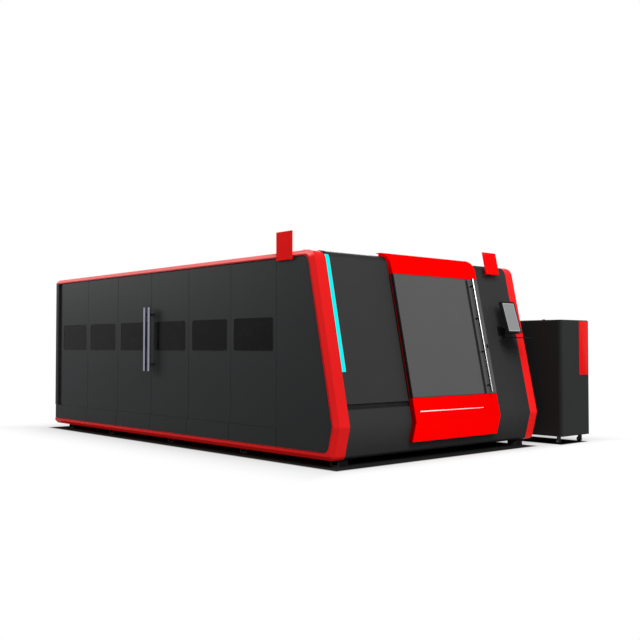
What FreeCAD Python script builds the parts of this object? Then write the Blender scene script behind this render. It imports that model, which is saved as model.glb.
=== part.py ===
import FreeCAD, Part
import Sketcher
import os
import re

# Fully enclosed fibre laser cutting machine with a cabinet on casters beside it.
# X runs to the operator's right, Y from the front to the rear, Z up. The origin lies on the floor at the
# centre of the four corner anchor holes, which is also the middle of the enclosure.

sizes = {
    # enclosure
    "body_length": 6100,
    "body_width": 3360,
    "body_height": 2100,
    "foot_height": 70,
    "crease_height": 329,
    "front_setback": 377,
    "toe_setback": 83,
    "roof_radius": 120,
    "crease_radius": 45,
    "toe_radius": 60,
    "panel_thickness": 25,
    "panel_recess": 6,
    "panel_gap": 6,
    # red trim round the two long sides
    "trim_width": 179,
    "trim_top": 60,
    "trim_foot": 75,
    "trim_front": 72,
    "trim_chamfer": 42,
    "trim_inner_radius": 85,
    # bays of the long sides, from the front seam to the rear column
    "front_bay": 932,
    "end_bay_less": 38,
    "column_width": 74,
    "channel_width": 118,
    "channel_depth": 30,
    "column_wall": 30,
    "skirt_height": 266,
    "skirt_stagger": 40,
    "rear_panel_count": 4,
    # windows
    "window_side": 76,
    "window_height": 354,
    "window_foot": 1073,
    "window_radius": 25,
    "window_rebate": 15,
    "pane_thickness": 7,
    "pane_clearance": 1,
    # frame and feet
    "foot_track": 2920,
    "foot_pitch": 1500,
    "foot_size": 125,
    "foot_plate": 12,
    "foot_mouth": 85,
    "foot_mouth_depth": 95,
    "anchor_radius": 11,
    "cross_depth": 120,
    "cross_height": 120,
    "side_rail_height": 60,
    "top_rail_width": 100,
    "post_size": 50,
    "roof_recess": 5,
    "roof_beam_depth": 60,
    # cutting bed
    "bed_track": 2360,
    "bed_beam_width": 200,
    "bed_beam_height": 240,
    "bed_top": 860,
    "leg_depth": 80,
    "leg_width": 160,
    "rail_width": 34,
    "rail_height": 30,
    "rail_waist": 5,
    "rail_end": 90,
    "rack_width": 22,
    "rack_height": 26,
    "rack_gap": 20,
    "table_start": 350,
    "table_bar": 40,
    "table_bar_height": 150,
    "table_bar_top": 810,
    "slat_count": 21,
    "slat_pitch": 210,
    "slat_thickness": 6,
    "slat_height": 130,
    "slat_foot": 720,
    "tooth_pitch": 100,
    "tooth_tip": 14,
    "tooth_depth": 34,
    "tray_height": 380,
    "tray_wall": 8,
    "tray_inset": 60,
    # front covers and door
    "cover_wrap": 300,
    "cover_return": 54,
    "door_width": 1442,
    "door_right": 835,
    "door_overlap_left": 17,
    "door_overlap_right": 50,
    "door_proud": 60,
    "door_roof_proud": 41,
    "door_clearance": 6,
    "door_foot": 121,
    "door_edge": 5,
    "door_hook": 152,
    "door_lip": 6,
    "groove_up": 170,
    "groove_height": 55,
    "groove_depth": 16,
    "sill_up": 277,
    "header_drop": 146,
    "glass_thickness": 8,
    "glass_foot": 244,
    "glass_drop": 211,
    "glass_inset": 8,
    "glass_rebate": 30,
    "stile_width": 110,
    "track_width": 12,
    "track_height": 8,
    "wheel_radius": 12.5,
    "wheel_width": 14,
    "wheel_inset": 200,
    "guide_radius": 24,
    "guide_width": 10,
    "guide_inset_left": 180,
    "guide_inset_right": 100,
    "axle_radius": 7,
    "door_handle_radius": 15,
    "door_handle_inset": 141,
    "door_handle_foot": 262,
    "door_handle_drop": 10,
    "door_handle_standoff": 45,
    # handles, lamp, signs
    "handle_radius": 17.5,
    "handle_foot": 815,
    "handle_length": 793,
    "handle_standoff": 60,
    "handle_inset": 52,
    "handle_post_inset": 87,
    "post_radius": 8,
    "lamp_width": 54,
    "lamp_foot": 550,
    "lamp_proud": 4,
    "sign_width": 250,
    "sign_height": 272,
    "sign_thickness": 14,
    "side_sign_y": 662,
    "side_sign_drop": 87,
    "side_sign_height": 297,
    "front_sign_right": 1275,
    "front_sign_drop": 131,
    "front_sign_standoff": 60,
    # hinge pivots of the side doors
    "pivot_radius": 5,
    "pivot_clearance": 0.3,
    "pivot_inset": 8,
    "pivot_lug": 4,
    "pivot_lug_width": 40,
    # screen on its arm
    "screen_width": 262,
    "screen_height": 392,
    "screen_depth": 38,
    "screen_frame": 14,
    "screen_out": 125,
    "screen_offset": 61,
    "screen_foot": 935,
    "arm_across": 1185,
    "arm_up": 996,
    "arm_base_out": 30,
    "arm_tip_out": 98,
    "arm_bar": 30,
    "hub_radius": 15,
    "hub_length": 40,
    "arm_pin_radius": 6,
    "bracket_plate": 10,
    "bracket_width": 80,
    "bracket_height": 110,
    "lug_thickness": 10,
    "screen_lean": 16.5,
    "screen_radius": 10,
    "screen_glass": 4,
    "shelf_plate": 10,
    "shelf_level": 1300,
    "shelf_offset": 73,
    "shelf_width": 310,
    "shelf_depth": 240,
    "shelf_radius": 20,
    # gantry and cutting head
    "gantry_rest": 1700,
    "gantry_depth": 160,
    "gantry_height": 240,
    "gantry_foot": 1050,
    "gantry_overhang": 110,
    "gantry_edge": 20,
    "truck_length": 420,
    "truck_width": 140,
    "truck_gap": 6,
    "running_gap": 0.3,
    "cross_rail_width": 20,
    "cross_rail_height": 30,
    "shoe_width": 80,
    "shoe_height": 16,
    "carriage_width": 300,
    "carriage_height": 280,
    "carriage_thickness": 30,
    "motor_size": 110,
    "lift_width": 140,
    "lift_height": 420,
    "lift_thickness": 25,
    "lift_drop": 50,
    "head_radius": 40,
    "head_length": 420,
    "head_tip": 960,
    "nozzle_length": 90,
    "nozzle_radius": 6,
    "clamp_height": 60,
    "clamp_wall": 16,
    # side cabinet
    "cabinet_left": 1830,
    "cabinet_ahead": 220,
    "cabinet_width": 636,
    "cabinet_depth": 918,
    "cabinet_foot": 97,
    "cabinet_top": 1518,
    "cabinet_radius": 45,
    "cabinet_lid": 12,
    "stripe_width": 190,
    "stripe_height": 666,
    "stripe_inset": 50,
    "stripe_thickness": 3,
    "knob_radius": 22,
    "knob_height": 18,
    "vent_width": 360,
    "vent_height": 10,
    "vent_depth": 12,
    "vent_pitch": 32,
    "vent_count": 6,
    "vent_inset": 40,
    "caster_inset": 85,
    "caster_trail": 22,
    "caster_disc_radius": 32,
    "caster_disc": 8,
    "caster_wheel_radius": 32,
    "caster_wheel_width": 24,
    "caster_cheek": 4,
    "caster_cheek_length": 38,
    "caster_axle_radius": 5,
}

derived = {
    "half_width": "body_width / 2",
    "half_length": "body_length / 2",
    "foot_span": "body_length - 2 * (toe_setback + cover_return + panel_gap / 2 + cross_depth / 2)",
    "middle_bay": "(column_front + half_length - front_bay + 2 * end_bay_less) / 6",
    "end_bay": "middle_bay - end_bay_less",
    "window_width": "middle_bay - 2 * window_side",
    "base_level": "foot_height",
    "roof_level": "foot_height + body_height",
    "crease_level": "foot_height + crease_height",
    "front_lean": "atan(front_setback / (body_height - crease_height))",
    "toe_lean": "atan(toe_setback / crease_height)",
    "slope_length": "(body_height - crease_height) / cos(front_lean)",
    "header_up": "slope_length - header_drop",
    "glass_head": "slope_length - glass_drop",
    "door_handle_head": "glass_head - door_handle_drop",
    "front_sign_up": "slope_length - front_sign_drop",
    "side_sign_foot": "body_height - side_sign_drop",
    "cover_edge": "half_width - trim_width",
    "field_top": "roof_level - trim_top",
    "field_foot": "base_level + trim_foot",
    "wall_face": "half_width - panel_recess",
    "wall_back": "wall_face - panel_thickness",
    "skirt_top": "base_level + skirt_height",
    "column_front": "half_length - column_width - channel_width",
    "cover_back": "-half_length + front_setback + cover_wrap",
    "bed_half": "bed_track / 2",
    "cross_top": "base_level + cross_height",
    "table_half": "bed_half - bed_beam_width / 2",
    "table_front": "-half_length + table_start + table_bar",
    "opening_left": "door_left + door_overlap_left",
    "opening_right": "door_right - door_overlap_right",
    "door_left": "door_right - door_width",
    "hook_front": "hook_back - 2 * (wheel_width + door_clearance)",
    "hook_back": "-half_length + front_setback + door_hook",
    "beam_front": "gantry_rest - gantry_depth / 2",
    "carriage_back": "beam_front - cross_rail_width - running_gap",
    "lift_back": "carriage_back - carriage_thickness - running_gap",
    "head_axis": "lift_back - lift_thickness - head_radius",
    "screen_left": "arm_across - screen_offset",
    "shelf_left": "arm_across - shelf_offset",
    "cabinet_right": "cabinet_left + cabinet_width",
    "cabinet_front": "-half_length - cabinet_ahead",
    "cabinet_rear": "cabinet_front + cabinet_depth",
}

axis_turns = {
    "z": ("0; 0; 1", "0 deg"),
    "x": ("0; 1; 0", "90 deg"),
    "y": ("1; 0; 0", "-90 deg"),
    "slope": ("1; 0; 0", "-front_lean"),
    "outward": ("1; 0; 0", "90 deg - front_lean"),
    "upright": ("1; 0; 0", "90 deg"),
    "screen": ("1; 0; 0", "-screen_lean * 1 deg"),
}

doc = FreeCAD.newDocument("laser_cutter")
sheet = doc.addObject("Spreadsheet::Sheet", "Sizes")
for row, (alias, amount) in enumerate(sizes.items(), start=1):
    sheet.set(f"A{row}", alias)
    sheet.set(f"B{row}", str(amount))
    sheet.setAlias(f"B{row}", alias)
doc.recompute()
nodes = []


# ---- formulas and placing ----

def formula(text):
    # derived names are written out and sheet names point at the sheet
    def word(match):
        name = match.group()
        if name in derived:
            return f"({formula(derived[name])})"
        return f"Sizes.{name}" if name in sizes else name
    return re.sub(r"[a-z_]+", word, text)


def number(text):
    result = sheet.evalExpression(formula(text))
    return float(getattr(result, "Value", result))


def bind(item, field, text):
    item.setExpression(field, formula(text))


def place(item, at, turn="z"):
    x, y, z = (formula(text) for text in at)
    axis, angle = axis_turns[turn]
    turning = f"rotation(vector({axis}); {formula(angle)})"
    item.setExpression("Placement", f"placement(vector({x}; {y}; {z}); {turning})")


def on_slope(across, up, out="0"):
    # a point above the sloped front: up is measured along the slope from the crease, out along its normal
    y = f"-half_length + ({up}) * sin(front_lean) - ({out}) * cos(front_lean)"
    z = f"crease_level + ({up}) * cos(front_lean) + ({out}) * sin(front_lean)"
    return (across, y, z)


def slope_corner(out, level):
    return (f"-half_length + (({level}) - crease_level) * tan(front_lean) - ({out}) / cos(front_lean)", level)


def toe_corner(out, level):
    return (f"-half_length + (crease_level - ({level})) * tan(toe_lean) - ({out}) / cos(toe_lean)", level)


def crease_corner(out):
    rise = "(1 / cos(front_lean) - 1 / cos(toe_lean)) / (tan(front_lean) + tan(toe_lean))"
    return slope_corner(out, f"crease_level + ({out}) * {rise}")


# ---- solids ----

def block(name, size, at, turn="z"):
    item = doc.addObject("Part::Box", name)
    for field, text in zip(("Length", "Width", "Height"), size):
        bind(item, field, text)
    place(item, at, turn)
    return item


def rod(name, radius, length, at, turn="z"):
    item = doc.addObject("Part::Cylinder", name)
    bind(item, "Radius", radius)
    bind(item, "Height", length)
    place(item, at, turn)
    return item


def fuse(name, pieces):
    item = doc.addObject("Part::MultiFuse", name)
    item.Shapes = pieces
    return item


def cut(name, base, tools):
    item = doc.addObject("Part::Cut", name)
    item.Base = base
    item.Tool = tools[0] if len(tools) == 1 else fuse(f"{name}_tools", tools)
    return item


def group(name, pieces):
    item = doc.addObject("Part::Compound", name)
    item.Links = pieces
    return item


def mirror(name, source):
    item = doc.addObject("Part::Mirroring", name)
    item.Source = source
    item.Normal = FreeCAD.Vector(1, 0, 0)
    return item


def node(item, label=None):
    item.Label = label or item.Name
    nodes.append(item)
    return item


# ---- sketched bodies ----

def body(name, at=("0", "0", "0"), turn="z"):
    item = doc.addObject("PartDesign::Body", name)
    place(item, at, turn)
    return item


def blank_sketch(owner, name, role, level):
    sketch = owner.newObject("Sketcher::SketchObject", name)
    plane = next(part for part in owner.Origin.OriginFeatures if part.Role == role)
    sketch.AttachmentSupport = [(plane, "")]
    sketch.MapMode = "FlatFace"
    bind(sketch, "AttachmentOffset.Base.z", level)
    return sketch


def fix_point(sketch, curve, end, corner):
    for kind, text in zip(("DistanceX", "DistanceY"), corner):
        rule = sketch.addConstraint(Sketcher.Constraint(kind, -1, 1, curve, end, number(text)))
        bind(sketch, f"Constraints[{rule}]", text)


def polygon(owner, name, role, corners, level="0"):
    sketch = blank_sketch(owner, name, role, level)
    spots = [FreeCAD.Vector(number(across), number(up), 0) for across, up in corners]
    count = len(spots)
    for index, spot in enumerate(spots):
        sketch.addGeometry(Part.LineSegment(spot, spots[(index + 1) % count]), False)
    for index in range(count):
        sketch.addConstraint(Sketcher.Constraint("Coincident", index, 2, (index + 1) % count, 1))
    for index, corner in enumerate(corners):
        fix_point(sketch, index, 1, corner)
    return sketch


def rectangle(owner, name, role, low, high, level="0"):
    corners = [low, (high[0], low[1]), high, (low[0], high[1])]
    return polygon(owner, name, role, corners, level)


def pad(owner, sketch, length, backwards=False):
    item = owner.newObject("PartDesign::Pad", f"{sketch.Name}_pad")
    item.Profile = sketch
    item.Reversed = backwards
    bind(item, "Length", length)
    doc.recompute()
    return item


def pocket(owner, sketch, length, backwards=False):
    # length None cuts through everything
    before = owner.Tip.Shape.Volume
    item = owner.newObject("PartDesign::Pocket", f"{sketch.Name}_pocket")
    item.Profile = sketch
    item.Reversed = backwards
    if length is None:
        item.Type = "ThroughAll"
        item.Midplane = True
    else:
        bind(item, "Length", length)
    doc.recompute()
    if item.Shape.Volume >= before - 1:
        raise ValueError(f"{sketch.Name} cuts nothing")
    return item


def pick(shape, wanted):
    return [f"Edge{index}" for index, edge in enumerate(shape.Edges, start=1) if wanted(edge)]


def dress(owner, kind, name, field, size, wanted):
    # a fillet or chamfer on the edges of the body's last feature that pass the test
    base = owner.Tip
    item = owner.newObject(kind, name)
    item.Base = (base, pick(base.Shape, wanted))
    bind(item, field, size)
    doc.recompute()
    return item


def fillet(owner, name, radius, wanted):
    return dress(owner, "PartDesign::Fillet", name, "Radius", radius, wanted)


def chamfer(owner, name, size, wanted):
    return dress(owner, "PartDesign::Chamfer", name, "Size", size, wanted)


def along_x(*corners):
    # edges that run across the machine through any of these (Y, Z) corners
    spots = [(number(y), number(z)) for y, z in corners]

    def wanted(edge):
        start, end = edge.Vertexes[0].Point, edge.Vertexes[-1].Point
        across = abs(start.y - end.y) + abs(start.z - end.z) < 0.01
        return across and any(abs(start.y - y) + abs(start.z - z) < 1 for y, z in spots)
    return wanted


def parallel(axis, within=None):
    # straight edges along one local axis, where asked only those whose middle passes a second test
    def wanted(edge):
        run = edge.Vertexes[-1].Point - edge.Vertexes[0].Point
        straight = abs(abs(run.dot(axis)) - run.Length) < 0.01 and run.Length > 0.01
        return straight and (within is None or within(edge.CenterOfMass))
    return wanted


x_axis = FreeCAD.Vector(1, 0, 0)
y_axis = FreeCAD.Vector(0, 1, 0)
z_axis = FreeCAD.Vector(0, 0, 1)


# ---- what is the same on both sides ----

def both_sides(name, pieces):
    near = group(f"{name}_near", pieces)
    return group(name, [near, mirror(f"{name}_far", near)])


bay_widths = ["end_bay", "middle_bay", "middle_bay", "middle_bay", "middle_bay", "end_bay"]
seams = ["-half_length + front_bay"]
for bay_width in bay_widths:
    seams.append(f"{seams[-1]} + {bay_width}")
foot_rows = [f"-foot_span / 2 + {index} * foot_pitch" for index in range(4)] + ["foot_span / 2"]


# ---- feet and base frame ----

def feet():
    low = "-foot_track / 2 - foot_size / 2"
    pieces = []
    for index, row_y in enumerate(foot_rows):
        front = f"{row_y} - foot_size / 2"
        shell = block(f"foot_{index}_shell", ("foot_size", "foot_size", "foot_height"), (low, front, "0"))
        mouth_y = f"{row_y} - foot_mouth / 2"
        mouth_height = "foot_height - 2 * foot_plate"
        mouth = block(f"foot_{index}_mouth", ("foot_mouth_depth + 1", "foot_mouth", mouth_height),
                      (f"{low} - 1", mouth_y, "foot_plate"))
        hole_at = ("-foot_track / 2", row_y, "-1")
        hole = rod(f"foot_{index}_hole", "anchor_radius", "foot_plate + 2", hole_at)
        pieces.append(cut(f"foot_{index}", shell, [mouth, hole]))
    return node(both_sides("levelling_feet", pieces))


def base_frame():
    crosses = []
    for index, row_y in enumerate(foot_rows):
        size = ("2 * cover_edge - 2 * panel_gap", "cross_depth", "cross_height")
        at = ("-cover_edge + panel_gap", f"{row_y} - cross_depth / 2", "base_level")
        crosses.append(block(f"cross_{index}", size, at))
    rail_start = "-half_length + trim_front + toe_setback + trim_inner_radius"
    rail_size = (
        "wall_back - cover_edge + panel_gap",
        f"half_length - panel_thickness - ({rail_start})",
        "side_rail_height")
    rail = block("side_rail", rail_size, ("-wall_back", rail_start, "field_foot"))
    return node(group("base_frame", crosses + [both_sides("side_rails", [rail])]))


# ---- cutting bed ----

def bed():
    beam_size = ("bed_beam_width", "foot_span + leg_depth", "bed_beam_height")
    beam_at = ("-bed_half - bed_beam_width / 2", "-foot_span / 2 - leg_depth / 2",
               "bed_top - bed_beam_height")
    pieces = [block("bed_beam", beam_size, beam_at)]
    for index, row_y in enumerate(foot_rows):
        size = ("leg_width", "leg_depth", "bed_top - bed_beam_height - cross_top")
        at = ("-bed_half - leg_width / 2", f"{row_y} - leg_depth / 2", "cross_top")
        pieces.append(block(f"bed_leg_{index}", size, at))
    return node(both_sides("bed", pieces))


def y_rails():
    length = "foot_span + leg_depth - 2 * rail_end"
    start = "-foot_span / 2 - leg_depth / 2 + rail_end"
    rail = body("guide_rail", ("-bed_half", start, "bed_top"))
    half = "rail_width / 2"
    waist = "rail_width / 2 - rail_waist"
    corners = [
        (f"-({half})", "0"), (half, "0"), (half, "rail_height * 0.4"), (waist, "rail_height * 0.5"),
        (waist, "rail_height * 0.7"), (half, "rail_height * 0.8"), (half, "rail_height"),
        (f"-({half})", "rail_height"), (f"-({half})", "rail_height * 0.8"),
        (f"-({waist})", "rail_height * 0.7"), (f"-({waist})", "rail_height * 0.5"),
        (f"-({half})", "rail_height * 0.4")]
    pad(rail, polygon(rail, "rail_section", "XZ_Plane", corners), length, backwards=True)
    rack_at = ("-bed_half + truck_width / 2 + rack_gap", start, "bed_top")
    rack = block("rack", ("rack_width", length, "rack_height"), rack_at)
    return node(both_sides("y_rails", [rail, rack]))


def table_frame():
    length = "slat_count * slat_pitch"
    top = "table_bar_top - table_bar_height"
    side_at = ("-table_half", "table_front - table_bar", top)
    side = block("table_side", ("table_bar", f"{length} + 2 * table_bar", "table_bar_height"), side_at)
    ends = []
    for name, start in (("front", "table_front - table_bar"), ("rear", f"table_front + {length}")):
        size = ("2 * (table_half - table_bar)", "table_bar", "table_bar_height")
        ends.append(block(f"table_{name}", size, ("-table_half + table_bar", start, top)))
    return node(group("table_frame", [both_sides("table_sides", [side])] + ends))


def slats():
    half = "table_half - table_bar"
    pattern = body("slat")
    pad(pattern, rectangle(pattern, "slat_plate", "XZ_Plane", (f"-({half})", "0"), (half, "slat_height")),
        "slat_thickness", backwards=True)
    start = f"-({half}) + tooth_tip"
    notch = polygon(pattern, "slat_notch", "XZ_Plane", [
        (start, "slat_height"),
        (f"{start} + tooth_pitch / 2 - tooth_tip / 2", "slat_height - tooth_depth"),
        (f"{start} + tooth_pitch - tooth_tip", "slat_height")])
    tooth = pocket(pattern, notch, None)
    teeth = pattern.newObject("PartDesign::LinearPattern", "slat_teeth")
    teeth.Originals = [tooth]
    teeth.Direction = (notch, ["H_Axis"])
    teeth.Mode = "Spacing"
    bind(teeth, "Offset", "tooth_pitch")
    bind(teeth, "Occurrences", f"floor((2 * ({half}) - 2 * tooth_tip) / tooth_pitch)")
    pattern.Tip = teeth
    copies = []
    for index in range(int(number("slat_count"))):
        copy = doc.addObject("App::Link", f"slat_{index}")
        copy.LinkedObject = pattern
        place(copy, ("0", f"table_front + ({index} + 0.5) * slat_pitch - slat_thickness / 2", "slat_foot"))
        copies.append(copy)
    return node(group("slats", copies))


def hopper(name, wall):
    # an inverted, cut off pyramid whose sides lean in towards the foot
    item = doc.addObject("Part::Wedge", name)
    half = "table_half - tray_inset"
    length = "slat_count * slat_pitch - 2 * tray_inset"
    lean = "tray_height * 0.6"
    low = {"Xmin": f"-({half}) + {lean} + {wall}", "Zmin": f"-({length}) + {lean} + {wall}",
           "Xmax": f"{half} - {lean} - {wall}", "Zmax": f"-{lean} - {wall}", "Ymin": wall}
    high = {"X2min": f"-({half}) + {wall}", "Z2min": f"-({length}) + {wall}",
            "X2max": f"{half} - {wall}", "Z2max": f"-{wall}", "Ymax": "tray_height"}
    for field, text in (low | high).items():
        bind(item, field, text)
    place(item, ("0", "table_front + tray_inset", "cross_top"), "upright")
    return item


def scrap_tray():
    return node(cut("scrap_tray", hopper("tray_outside", "0"), [hopper("tray_inside", "tray_wall")]))


# ---- enclosure frame ----

# how much of a post lies in front of its seam; beside the hinged leaves it stands clear of them
post_shares = {
    "left": {0: 0.5, 1: 0.5, 2: 1, 4: 0, 5: 0.5, 6: 1},
    "right": {0: 0.5, 1: 0.5, 2: 0.5, 3: 0.5, 4: 0.5, 5: 0.5, 6: 1},
}


def posts():
    foot = "field_foot + side_rail_height"
    size = ("post_size", "post_size", f"field_top - side_rail_height - ({foot})")
    pieces = []
    for side, shares in post_shares.items():
        across = "-wall_back" if side == "left" else "wall_back - post_size"
        for seam, share in shares.items():
            at = (across, f"{seams[seam]} - {share} * post_size", foot)
            pieces.append(block(f"post_{side}_{seam}", size, at))
    start = "-half_length + front_setback + 2 * trim_inner_radius"
    top_size = ("top_rail_width", f"column_front - ({start})", "side_rail_height")
    rail = block("top_rail", top_size, ("-wall_back", start, "field_top - side_rail_height"))
    return node(group("wall_frame", pieces + [both_sides("top_rails", [rail])]))


def roof_beams():
    pieces = []
    for index, seam in enumerate(seams):
        size = ("2 * (wall_back - top_rail_width)", "roof_beam_depth", "side_rail_height")
        at = ("-wall_back + top_rail_width", f"{seam} - roof_beam_depth", "field_top - side_rail_height")
        pieces.append(block(f"roof_beam_{index}", size, at))
    return node(group("roof_beams", pieces))


# ---- trim ----

def trim_corners(out, foot, top, rear):
    return [(rear, top), slope_corner(out, top), crease_corner(out), toe_corner(out, foot), (rear, foot)]


def outline_depth(spot):
    # how far a point lies inside the side outline of the enclosure
    across = spot.y + number("half_length")
    rise = spot.z - number("crease_level")
    slope = (across - rise * number("tan(front_lean)")) * number("cos(front_lean)")
    toe = (across + rise * number("tan(toe_lean)")) * number("cos(toe_lean)")
    return min(number("roof_level") - spot.z, spot.z - number("base_level"), slope, toe)


def trims():
    trim = body("left_trim", ("-half_width", "0", "0"))
    outer = trim_corners("0", "base_level", "roof_level", "half_length")
    inner = trim_corners("-trim_front", "field_foot", "field_top", "half_length")
    pad(trim, polygon(trim, "trim_outline", "YZ_Plane", outer + inner[::-1]), "trim_width")
    fillet(trim, "trim_roof_round", "roof_radius", along_x(outer[1]))
    fillet(trim, "trim_crease_round", "crease_radius", along_x(outer[2]))
    fillet(trim, "trim_toe_round", "toe_radius", along_x(outer[3]))
    fillet(trim, "trim_inner_round", "trim_inner_radius", along_x(inner[1], inner[3]))
    edge_depth = number("trim_foot") / 2

    def outside(edge):
        middle = edge.valueAt((edge.FirstParameter + edge.LastParameter) / 2)
        run = abs(edge.Vertexes[0].Y - edge.Vertexes[-1].Y)
        return abs(middle.x) < 0.01 and run > 0.01 and outline_depth(middle) < edge_depth
    chamfer(trim, "trim_edge", "trim_chamfer", outside)
    node(trim)
    node(mirror("right_trim", trim))


def rear_columns():
    column = body("rear_column", ("0", "0", "skirt_top + panel_gap"))
    face = "-half_width"
    floor = "-half_width + channel_depth"
    inside = "-half_width + channel_depth + column_wall"
    corners = [
        (floor, "column_front"), (floor, "column_front + channel_width"),
        (face, "column_front + channel_width"), (face, "half_length"), ("-cover_edge", "half_length"),
        ("-cover_edge", "half_length - column_wall"), (inside, "half_length - column_wall"),
        (inside, "column_front")]
    pad(column, polygon(column, "column_section", "XY_Plane", corners), "field_top - skirt_top - panel_gap")
    return node(both_sides("rear_columns", [column]))


# ---- side walls ----

def wall_panel(name, front, rear, foot, top):
    panel = body(name, ("-wall_face", "0", "0"))
    low = (f"{front} + panel_gap / 2", foot)
    high = (f"{rear} - panel_gap / 2", top)
    pad(panel, rectangle(panel, f"{name}_face", "YZ_Plane", low, high), "panel_thickness")
    return panel


def window_cut(panel, name, centre):
    # the pane sits in a rebate of the rounded hole
    for step, growth, depth in (("seat", "0", "pane_thickness"), ("hole", "-window_rebate", None)):
        low = (f"{centre} - window_width / 2 - ({growth})", f"base_level + window_foot - ({growth})")
        high = (f"{centre} + window_width / 2 + ({growth})",
                f"base_level + window_foot + window_height + ({growth})")
        sketch = rectangle(panel, f"{name}_{step}", "YZ_Plane", low, high)
        pocket(panel, sketch, depth, backwards=True)
        corners = [(y, z) for y in (low[0], high[0]) for z in (low[1], high[1])]
        fillet(panel, f"{name}_{step}_round", f"window_radius + ({growth}) / 2", along_x(*corners))


def pane(name, centre):
    glass = body(name, ("-wall_face", "0", "0"))
    low = (f"{centre} - window_width / 2 + pane_clearance", "base_level + window_foot + pane_clearance")
    high = (f"{centre} + window_width / 2 - pane_clearance",
            "base_level + window_foot + window_height - pane_clearance")
    pad(glass, rectangle(glass, f"{name}_face", "YZ_Plane", low, high), "pane_thickness")
    fillet(glass, f"{name}_round", "window_radius - pane_clearance", parallel(x_axis))
    return glass


panel_foot = "skirt_top + panel_gap"
panel_top = "field_top - panel_gap"
door_bays = {3: "left_door_front", 4: "left_door_rear"}


def front_wall_panel():
    panel = body("left_front_panel", ("-wall_face", "0", "0"))
    out = "-trim_front - panel_gap / 2"
    foot = "field_foot + panel_gap / 2"
    top = "field_top - panel_gap / 2"
    rear = f"{seams[0]} - panel_gap / 2"
    corners = trim_corners(out, foot, top, rear)
    pad(panel, polygon(panel, "front_panel_face", "YZ_Plane", corners), "panel_thickness")
    fillet(panel, "front_panel_round", "trim_inner_radius - panel_gap / 2", along_x(corners[1], corners[3]))
    return node(panel)


def left_wall():
    panes = []
    for bay in (1, 2, 5, 6):
        front, rear = seams[bay - 1], seams[bay]
        panel = wall_panel(f"left_panel_{bay}", front, rear, panel_foot, panel_top)
        window_cut(panel, f"window_{bay}", f"({front} + {rear}) / 2")
        node(panel)
        panes.append(pane(f"pane_{bay}", f"({front} + {rear}) / 2"))
    node(group("left_windows", panes))


def right_wall(front_panel):
    pieces = [front_panel]
    for bay in range(1, 7):
        name = f"right_panel_{bay}"
        pieces.append(wall_panel(name, seams[bay - 1], seams[bay], panel_foot, panel_top))
    node(mirror("right_panels", group("right_panels_near", pieces)))


def skirts():
    joints = [seams[0]] + [f"{seam} + skirt_stagger" for seam in seams[1:6]] + ["half_length + panel_gap / 2"]
    pieces = []
    for index, (front, rear) in enumerate(zip(joints, joints[1:])):
        foot = "field_foot + panel_gap / 2"
        pieces.append(wall_panel(f"skirt_{index}", front, rear, foot, "skirt_top"))
    node(both_sides("side_skirts", pieces))


def door_leaf(bay, name):
    front, rear = seams[bay - 1], seams[bay]
    centre = f"({front} + {rear}) / 2"
    panel = wall_panel(f"{name}_panel", front, rear, panel_foot, panel_top)
    window_cut(panel, f"{name}_window", centre)
    opens_forward = bay == 3
    if opens_forward:
        edge_y = f"{front} + panel_gap / 2"
        hinge_y = f"{edge_y} + pivot_inset"
        pull_y = f"{rear} - handle_inset"
    else:
        edge_y = f"{rear} - panel_gap / 2"
        hinge_y = f"{edge_y} - pivot_inset"
        pull_y = f"{front} + handle_inset"
    at = ("-wall_face + pivot_inset", hinge_y)

    def swings_in(spot):
        return spot.x > number("panel_thickness") - 1 and abs(spot.y - number(edge_y)) < 1
    # the edge behind the pivot is bevelled, so that it clears the top rail as the leaf turns
    chamfer(panel, f"{name}_relief", "pivot_inset", parallel(z_axis, swings_in))
    pin = "panel_gap - running_gap"
    length = f"{pin} + pivot_radius"
    foot_pin = rod(f"{name}_foot_pin", "pivot_radius", length, (*at, f"{panel_foot} - ({pin})"))
    head_pin = rod(f"{name}_head_pin", "pivot_radius", length, (*at, f"{panel_top} - pivot_radius"))
    node(fuse(f"{name}_leaf", [panel, foot_pin, head_pin]))
    node(pane(f"{name}_pane", centre), f"{name}_window")
    node(door_pull(f"{name}_handle", pull_y))
    return at


def door_pull(name, pull_y):
    across = "-half_width - handle_standoff"
    foot = "base_level + handle_foot"
    tube = rod(f"{name}_tube", "handle_radius", "handle_length", (across, pull_y, foot))
    pieces = [tube]
    for end, level in (("low", "handle_post_inset"), ("high", "handle_length - handle_post_inset")):
        post_at = (across, pull_y, f"{foot} + {level}")
        length = "handle_standoff + panel_recess"
        pieces.append(rod(f"{name}_{end}_post", "post_radius", length, post_at, "x"))
    return fuse(name, pieces)


def door_lugs(pivots):
    # small plates with the bores in which the leaves' pins turn
    pieces = []
    for index, (across, hinge_y) in enumerate(pivots):
        for end, level in (("low", "skirt_top"), ("high", "field_top - pivot_lug")):
            size = ("panel_thickness", "pivot_lug_width", "pivot_lug")
            plate_at = ("-wall_face", f"{hinge_y} - pivot_lug_width / 2", level)
            plate = block(f"lug_{index}_{end}_plate", size, plate_at)
            hole = rod(f"lug_{index}_{end}_hole", "pivot_radius + pivot_clearance", "pivot_lug + 2",
                       (across, hinge_y, f"{level} - 1"))
            pieces.append(cut(f"lug_{index}_{end}", plate, [hole]))
    node(group("door_pivots", pieces))


# ---- rear wall and roof ----

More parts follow.
